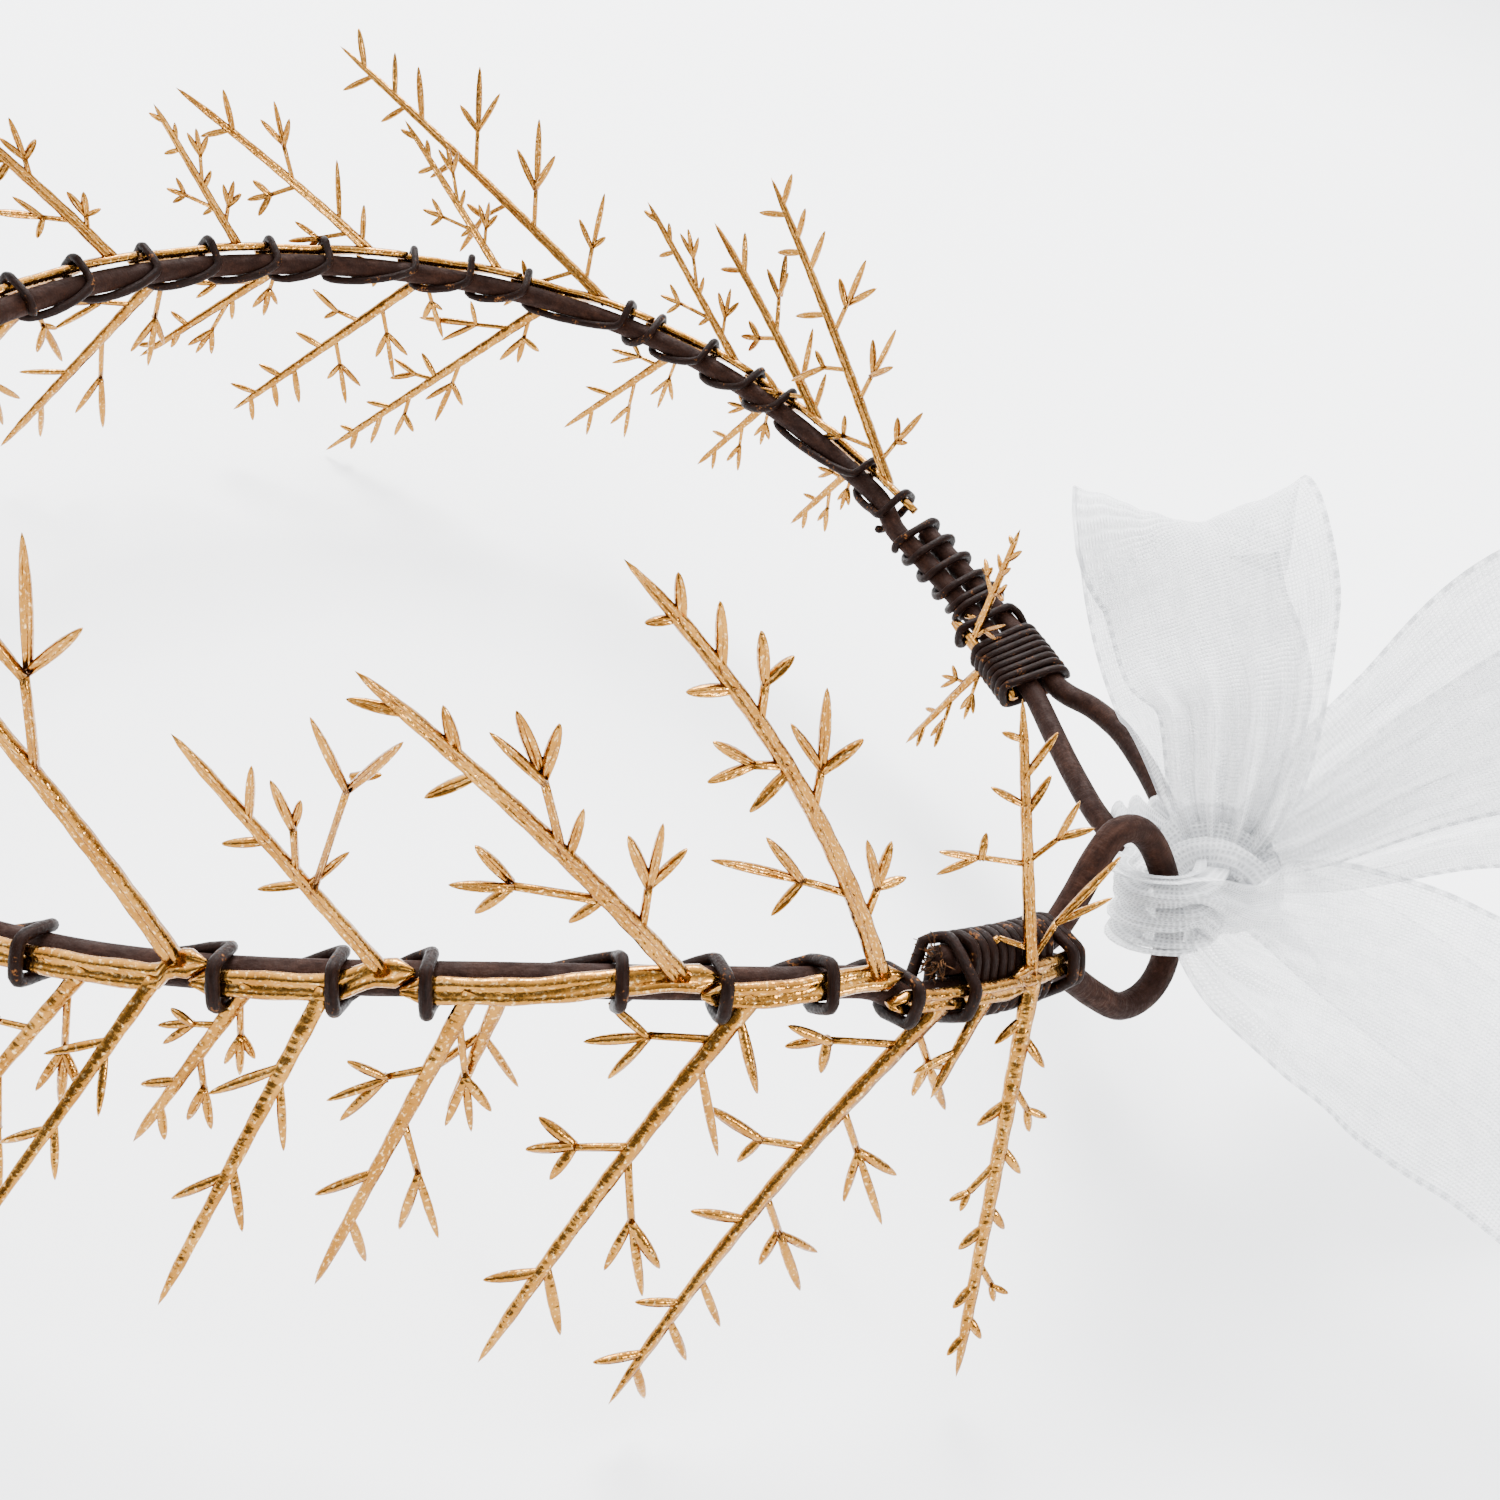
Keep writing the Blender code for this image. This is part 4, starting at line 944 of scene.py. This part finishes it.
def pressed_grain():
    """Fine cross marks and pits left in thin metal by its stamping, and a mask from the pits for
    painted glints.
    """
    tree, given, out = group("pressed_grain", (("Cross Marks", 1.0),), ("Height", "Glint"))
    marks = noise(tree, stretched(tree, given.outputs["Surface"], 1.5, 0.9), 1.0, 1.0)
    pits = noise(tree, stretched(tree, given.outputs["Surface"], 1.8, 3.4), 1.0, 3.0)
    marks = maths(tree, "MULTIPLY", marks, given.outputs["Cross Marks"])
    dents = noise(tree, stretched(tree, given.outputs["Surface"], 0.55, 0.45), 1.0, 1.0)
    height = maths(tree, "ADD", marks, maths(tree, "MULTIPLY", pits, 0.45))
    height = maths(tree, "ADD", height, maths(tree, "MULTIPLY", dents, 3.0))
    tree.links.new(height, out.inputs["Height"])
    # Painted glints: a mask for pale sparkle colour where the pits are high.
    tree.links.new(spread(tree, pits, 0.56, 0.76), out.inputs["Glint"])
    return tree


def paper_winding():
    """Narrow paper wound on aslant: a step at each turn, and fine creases along it, with a mask for
    painted shade in the creases.
    """
    given_values = (("Turn", 4.2), ("Slant", 0.36))
    tree, given, out = group("paper_winding", given_values, ("Height", "Crease"))
    parts = tree.nodes.new("ShaderNodeSeparateXYZ")
    tree.links.new(given.outputs["Surface"], parts.inputs[0])
    slant = maths(tree, "MULTIPLY", parts.outputs["Y"], given.outputs["Slant"])
    along = maths(tree, "ADD", parts.outputs["X"], slant)
    turn = maths(tree, "DIVIDE", along, given.outputs["Turn"])
    step = maths(tree, "FRACT", turn)
    creases = noise(tree, stretched(tree, given.outputs["Surface"], 0.5, 3.4), 1.0, 4.0, 0.65)
    crumple = noise(tree, stretched(tree, given.outputs["Surface"], 1.3, 1.6), 1.0, 4.0, 0.6)
    low_creases = maths(tree, "MULTIPLY", creases, 0.5)
    both = maths(tree, "ADD", low_creases, maths(tree, "MULTIPLY", crumple, 0.6))
    height = maths(tree, "ADD", maths(tree, "MULTIPLY", step, 0.35), both)
    tree.links.new(height, out.inputs["Height"])
    # The crease mask: rougher paper there, and painted shade along the creases in the finishes that
    # use it.
    tree.links.new(spread(tree, creases, 0.35, 0.68), out.inputs["Crease"])
    return tree


def plain_weave():
    """Warp and weft threads of a sheer cloth, its slubs, and its closer selvedges."""
    given_values = (("Thread", 0.55), ("Width", RIBBON_WIDTH))
    tree, given, out = group("plain_weave", given_values, ("Cover", "Height", "Selvedge"))
    parts = tree.nodes.new("ShaderNodeSeparateXYZ")
    tree.links.new(given.outputs["Surface"], parts.inputs[0])
    waves = []
    for axis in ("X", "Y"):
        turn = maths(tree, "DIVIDE", parts.outputs[axis], given.outputs["Thread"])
        waves.append(maths(tree, "SINE", maths(tree, "MULTIPLY", turn, 2 * math.pi)))
    threads = maths(tree, "MAXIMUM", waves[0], waves[1])
    tree.links.new(threads, out.inputs["Height"])
    slubs = noise(tree, stretched(tree, given.outputs["Surface"], 0.22, 1.6), 1.0, 4.0)
    crossing = spread(tree, threads, -1.0, 1.0, 0.0, 0.6)
    cover = maths(tree, "ADD", crossing, spread(tree, slubs, 0.3, 0.75, 0.0, 0.4))
    middle = maths(tree, "MULTIPLY", given.outputs["Width"], 0.5)
    off = maths(tree, "ABSOLUTE", maths(tree, "SUBTRACT", parts.outputs["Y"], middle))
    edge = maths(tree, "SUBTRACT", off, maths(tree, "SUBTRACT", middle, 0.9))
    edge = spread(tree, edge, -0.1, 0.1)
    dashes = maths(tree, "SINE", maths(tree, "MULTIPLY", parts.outputs["X"], 2.8))
    edge = maths(tree, "MULTIPLY", edge, spread(tree, dashes, -1.0, 0.4, 0.35, 1.0))
    tree.links.new(cover, out.inputs["Cover"])
    tree.links.new(edge, out.inputs["Selvedge"])
    return tree


class Finish:
    """A material in the making: its shader, and the nodes that feed it."""

    def __init__(self, name):
        self.material = bpy.data.materials.new(name)
        self.material.use_nodes = True
        self.tree = self.material.node_tree
        self.shader = self.tree.nodes["Principled BSDF"]

    def set(self, **values):
        for key, value in values.items():
            self.shader.inputs[key.replace("_", " ")].default_value = value

    def link(self, output, name):
        self.tree.links.new(output, self.shader.inputs[name])

    def surface(self):
        return self.tree.nodes.new("ShaderNodeUVMap").outputs["UV"]

    def solid(self):
        return self.tree.nodes.new("ShaderNodeTexCoord").outputs["Object"]

    def use(self, tree, surface, **values):
        node = self.tree.nodes.new("ShaderNodeGroup")
        node.node_tree = tree
        self.tree.links.new(surface, node.inputs["Surface"])
        for key, value in values.items():
            node.inputs[key.replace("_", " ")].default_value = value
        return node

    def blend(self, mask, first, second):
        node = self.tree.nodes.new("ShaderNodeMix")
        node.data_type = "RGBA"
        self.tree.links.new(mask, node.inputs["Factor"])
        for slot, value in ((6, first), (7, second)):
            if isinstance(value, tuple):
                node.inputs[slot].default_value = (*value, 1.0)
            else:
                self.tree.links.new(value, node.inputs[slot])
        return node.outputs[2]

    def bump(self, height, strength, distance):
        node = self.tree.nodes.new("ShaderNodeBump")
        node.inputs["Strength"].default_value = strength
        node.inputs["Distance"].default_value = distance
        self.tree.links.new(height, node.inputs["Height"])
        self.link(node.outputs["Normal"], "Normal")


def satin_gold(patches, grain):
    finish = Finish("satin_gold")
    finish.set(Metallic=1.0)
    tone_patches = finish.use(patches, finish.solid(), Scale=170.0)
    marks = finish.use(grain, finish.surface())
    # Painted shade: the gold is darker in soft random patches, standing in for shade among the
    # blades.
    colour = finish.blend(tone_patches.outputs["Mask"], (0.25, 0.104, 0.016), (0.35, 0.163, 0.030))
    # Painted glints: pale gold sparkle highlights painted into the base colour.
    colour = finish.blend(marks.outputs["Glint"], colour, (0.90, 0.62, 0.28))
    finish.link(colour, "Base Color")
    finish.link(spread(finish.tree, tone_patches.outputs["Fine"], 0.0, 1.0, 0.12, 0.3), "Roughness")
    finish.bump(marks.outputs["Height"], 0.5, 0.00016)
    return finish.material


def wound_paper(patches, winding_marks):
    finish = Finish("wound_paper")
    tone_patches = finish.use(patches, finish.solid(), Scale=120.0)
    paper = finish.use(winding_marks, finish.surface())
    colour = finish.blend(tone_patches.outputs["Mask"], (0.012, 0.0032, 0.001), (0.026, 0.0075, 0.0024))
    # Painted shade: the paper is darker along the creases.
    colour = finish.blend(paper.outputs["Crease"], colour, (0.008, 0.002, 0.0007))
    finish.set(Specular_IOR_Level=0.1)
    finish.link(colour, "Base Color")
    finish.link(spread(finish.tree, paper.outputs["Crease"], 0.0, 1.0, 0.62, 0.86), "Roughness")
    finish.bump(paper.outputs["Height"], 0.8, 0.0005)
    return finish.material


def binding_wire(patches, winding_marks):
    finish = Finish("binding_wire")
    tone_patches = finish.use(patches, finish.solid(), Scale=420.0)
    paper = finish.use(winding_marks, finish.surface(), Turn=1.6, Slant=0.5)
    rubbed = maths(finish.tree, "MULTIPLY", tone_patches.outputs["Mask"], tone_patches.outputs["Fine"])
    rubbed = spread(finish.tree, rubbed, 0.45, 0.95)
    # Painted shade: the binding wire is darker along the creases.
    colour = finish.blend(paper.outputs["Crease"], (0.010, 0.0026, 0.0008), (0.003, 0.0008, 0.0003))
    colour = finish.blend(rubbed, colour, (0.20, 0.075, 0.02))
    finish.set(Specular_IOR_Level=0.07)
    finish.link(colour, "Base Color")
    finish.link(spread(finish.tree, tone_patches.outputs["Fine"], 0.0, 1.0, 0.34, 0.6), "Roughness")
    finish.bump(paper.outputs["Height"], 0.7, 0.0003)
    return finish.material


def torn_paper(patches):
    finish = Finish("torn_paper")
    finish.set(Roughness=0.9, Specular_IOR_Level=0.1)
    tone = finish.use(patches, finish.solid(), Scale=900.0)
    colour = finish.blend(tone.outputs["Mask"], (0.012, 0.005, 0.002), (0.14, 0.06, 0.022))
    finish.link(colour, "Base Color")
    return finish.material


def organza(weave, patches):
    finish = Finish("organza")
    finish.set(Roughness=0.42, Sheen_Weight=0.35, Sheen_Roughness=0.4)
    cloth = finish.use(weave, finish.surface())
    light_and_shade_patches = finish.use(patches, finish.surface(), Scale=0.35)
    # Painted light and shade: the white cloth is greyer and whiter in soft random patches.
    colour = finish.blend(light_and_shade_patches.outputs["Mask"], (0.80, 0.81, 0.825), (0.96, 0.965, 0.97))
    colour = finish.blend(cloth.outputs["Selvedge"], colour, (0.50, 0.51, 0.53))
    finish.link(colour, "Base Color")
    cover = spread(finish.tree, cloth.outputs["Cover"], 0.0, 1.0, 0.2, 0.92)
    edge = maths(finish.tree, "MULTIPLY", cloth.outputs["Selvedge"], 0.8)
    cover = maths(finish.tree, "MAXIMUM", cover, edge)
    finish.link(cover, "Alpha")
    finish.bump(cloth.outputs["Height"], 0.6, 0.0002)
    return finish.material


def tabletop(patches):
    finish = Finish("white_tabletop")
    finish.set(Roughness=0.7)
    tone = finish.use(patches, finish.solid(), Scale=3.0)
    colour = finish.blend(tone.outputs["Mask"], (0.90, 0.90, 0.90), (0.92, 0.92, 0.92))
    finish.link(colour, "Base Color")
    return finish.material


def table(finish):
    mesh = bpy.data.meshes.new("tabletop")
    half = TABLE_HALF
    corners = [(-half, -half, 0), (half, -half, 0), (half, half, 0), (-half, half, 0)]
    mesh.from_pydata(corners, [], [(0, 1, 2, 3)])
    mesh.materials.append(finish)
    obj = bpy.data.objects.new("tabletop", mesh)
    bpy.context.scene.collection.objects.link(obj)


def soft_light(name, place, aim, size, power, colour=(1.0, 1.0, 1.0)):
    lamp = bpy.data.lights.new(name, "AREA")
    lamp.shape = "DISK"
    lamp.size = size
    lamp.energy = power
    lamp.color = colour
    obj = bpy.data.objects.new(name, lamp)
    obj.location = place
    obj.rotation_euler = (Vector(aim) - Vector(place)).to_track_quat("-Z", "Y").to_euler()
    bpy.context.scene.collection.objects.link(obj)


def studio():
    """A bright window behind and to the left, and a sky that dims away from it."""
    world = bpy.data.worlds.new("studio")
    bpy.context.scene.world = world
    world.use_nodes = True
    tree = world.node_tree
    way = tree.nodes.new("ShaderNodeTexCoord").outputs["Generated"]
    facing = tree.nodes.new("ShaderNodeVectorMath")
    facing.operation = "DOT_PRODUCT"
    facing.inputs[1].default_value = WINDOW_WAY
    tree.links.new(way, facing.inputs[0])
    light = spread(tree, facing.outputs["Value"], 0.0, 0.92, 0.4, 6.2)
    background = tree.nodes["Background"]
    background.inputs["Color"].default_value = (0.95, 0.97, 1.0, 1.0)
    # The backdrop itself is plain: the sky's gradient only lights the wreath and shows in the gold.
    seen = tree.nodes.new("ShaderNodeLightPath").outputs["Is Camera Ray"]
    plain = maths(tree, "MULTIPLY", seen, BACKDROP_STRENGTH)
    unseen = maths(tree, "MULTIPLY", light, maths(tree, "SUBTRACT", 1.0, seen))
    tree.links.new(maths(tree, "ADD", plain, unseen), background.inputs["Strength"])
    soft_light("window", (-0.9, -0.55, 1.35), (0.0, 0.0, 0.0), 0.75, 62.0)
    soft_light("side", (0.45, 1.35, 0.62), (0.0, -0.02, 0.03), 0.35, 26.0)
    soft_light("fill", (1.1, 0.9, 1.0), (0.0, 0.0, 0.0), 1.2, 3.0)


def camera():
    lens = bpy.data.cameras.new("camera")
    lens.lens = 36.0
    lens.sensor_width = 36.0
    lens.clip_start = 0.005
    obj = bpy.data.objects.new("camera", lens)
    right = Vector((-0.355, 0.899, 0.257)).normalized()
    forward = Vector((-0.785, -0.137, -0.605)).normalized()
    up = right.cross(forward)
    turn = Matrix((right, up, -forward)).transposed().to_4x4()
    obj.matrix_world = Matrix.Translation(Vector((0.15966, -0.00204, 0.1595))) @ turn
    bpy.context.scene.collection.objects.link(obj)
    bpy.context.scene.camera = obj


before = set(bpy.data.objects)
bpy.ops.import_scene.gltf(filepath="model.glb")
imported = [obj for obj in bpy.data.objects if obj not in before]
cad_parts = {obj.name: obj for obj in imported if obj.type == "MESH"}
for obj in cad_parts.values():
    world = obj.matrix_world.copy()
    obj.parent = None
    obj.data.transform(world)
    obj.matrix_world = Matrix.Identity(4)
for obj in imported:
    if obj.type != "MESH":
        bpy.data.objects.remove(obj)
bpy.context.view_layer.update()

patches, grain, paper, weave = rubbed_patches(), pressed_grain(), paper_winding(), plain_weave()
gold = satin_gold(patches, grain)
binding = binding_wire(patches, paper)

ring = covered_ring(wound_paper(patches, paper))
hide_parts("base_wire")
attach(ring, "wreath")
fray = frayed_end(RIGHT_END, torn_paper(patches))
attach(fray, "wreath")
for node, end, fronds, crossings, under in (
    ("end_coil_right", RIGHT_END, RIGHT_FRONDS, RIGHT_COIL, UNDER_STEM),
    ("end_coil_left", LEFT_END, LEFT_FRONDS, LEFT_COIL, NOWHERE),
    ("band_wrap_right", RIGHT_END, RIGHT_FRONDS, RIGHT_WRAPS, NOWHERE),
    ("band_wrap_left", LEFT_END, LEFT_FRONDS, LEFT_WRAPS, NOWHERE),
):
    turns = winding(node + "_turns", end, fronds, crossings, under, binding)
    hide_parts(node)
    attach(turns, "wreath")
for fronds, side in ((RIGHT_FRONDS, 1), (LEFT_FRONDS, -1)):
    for frond in fronds:
        leaves = sprig(frond, side, gold)
        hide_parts(frond.name)
        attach(leaves, "wreath")
ribbon, ribbon_length = sheer_ribbon(organza(weave, patches))
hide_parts("ribbon")
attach(ribbon, "ribbon")

table(tabletop(patches))
studio()
camera()
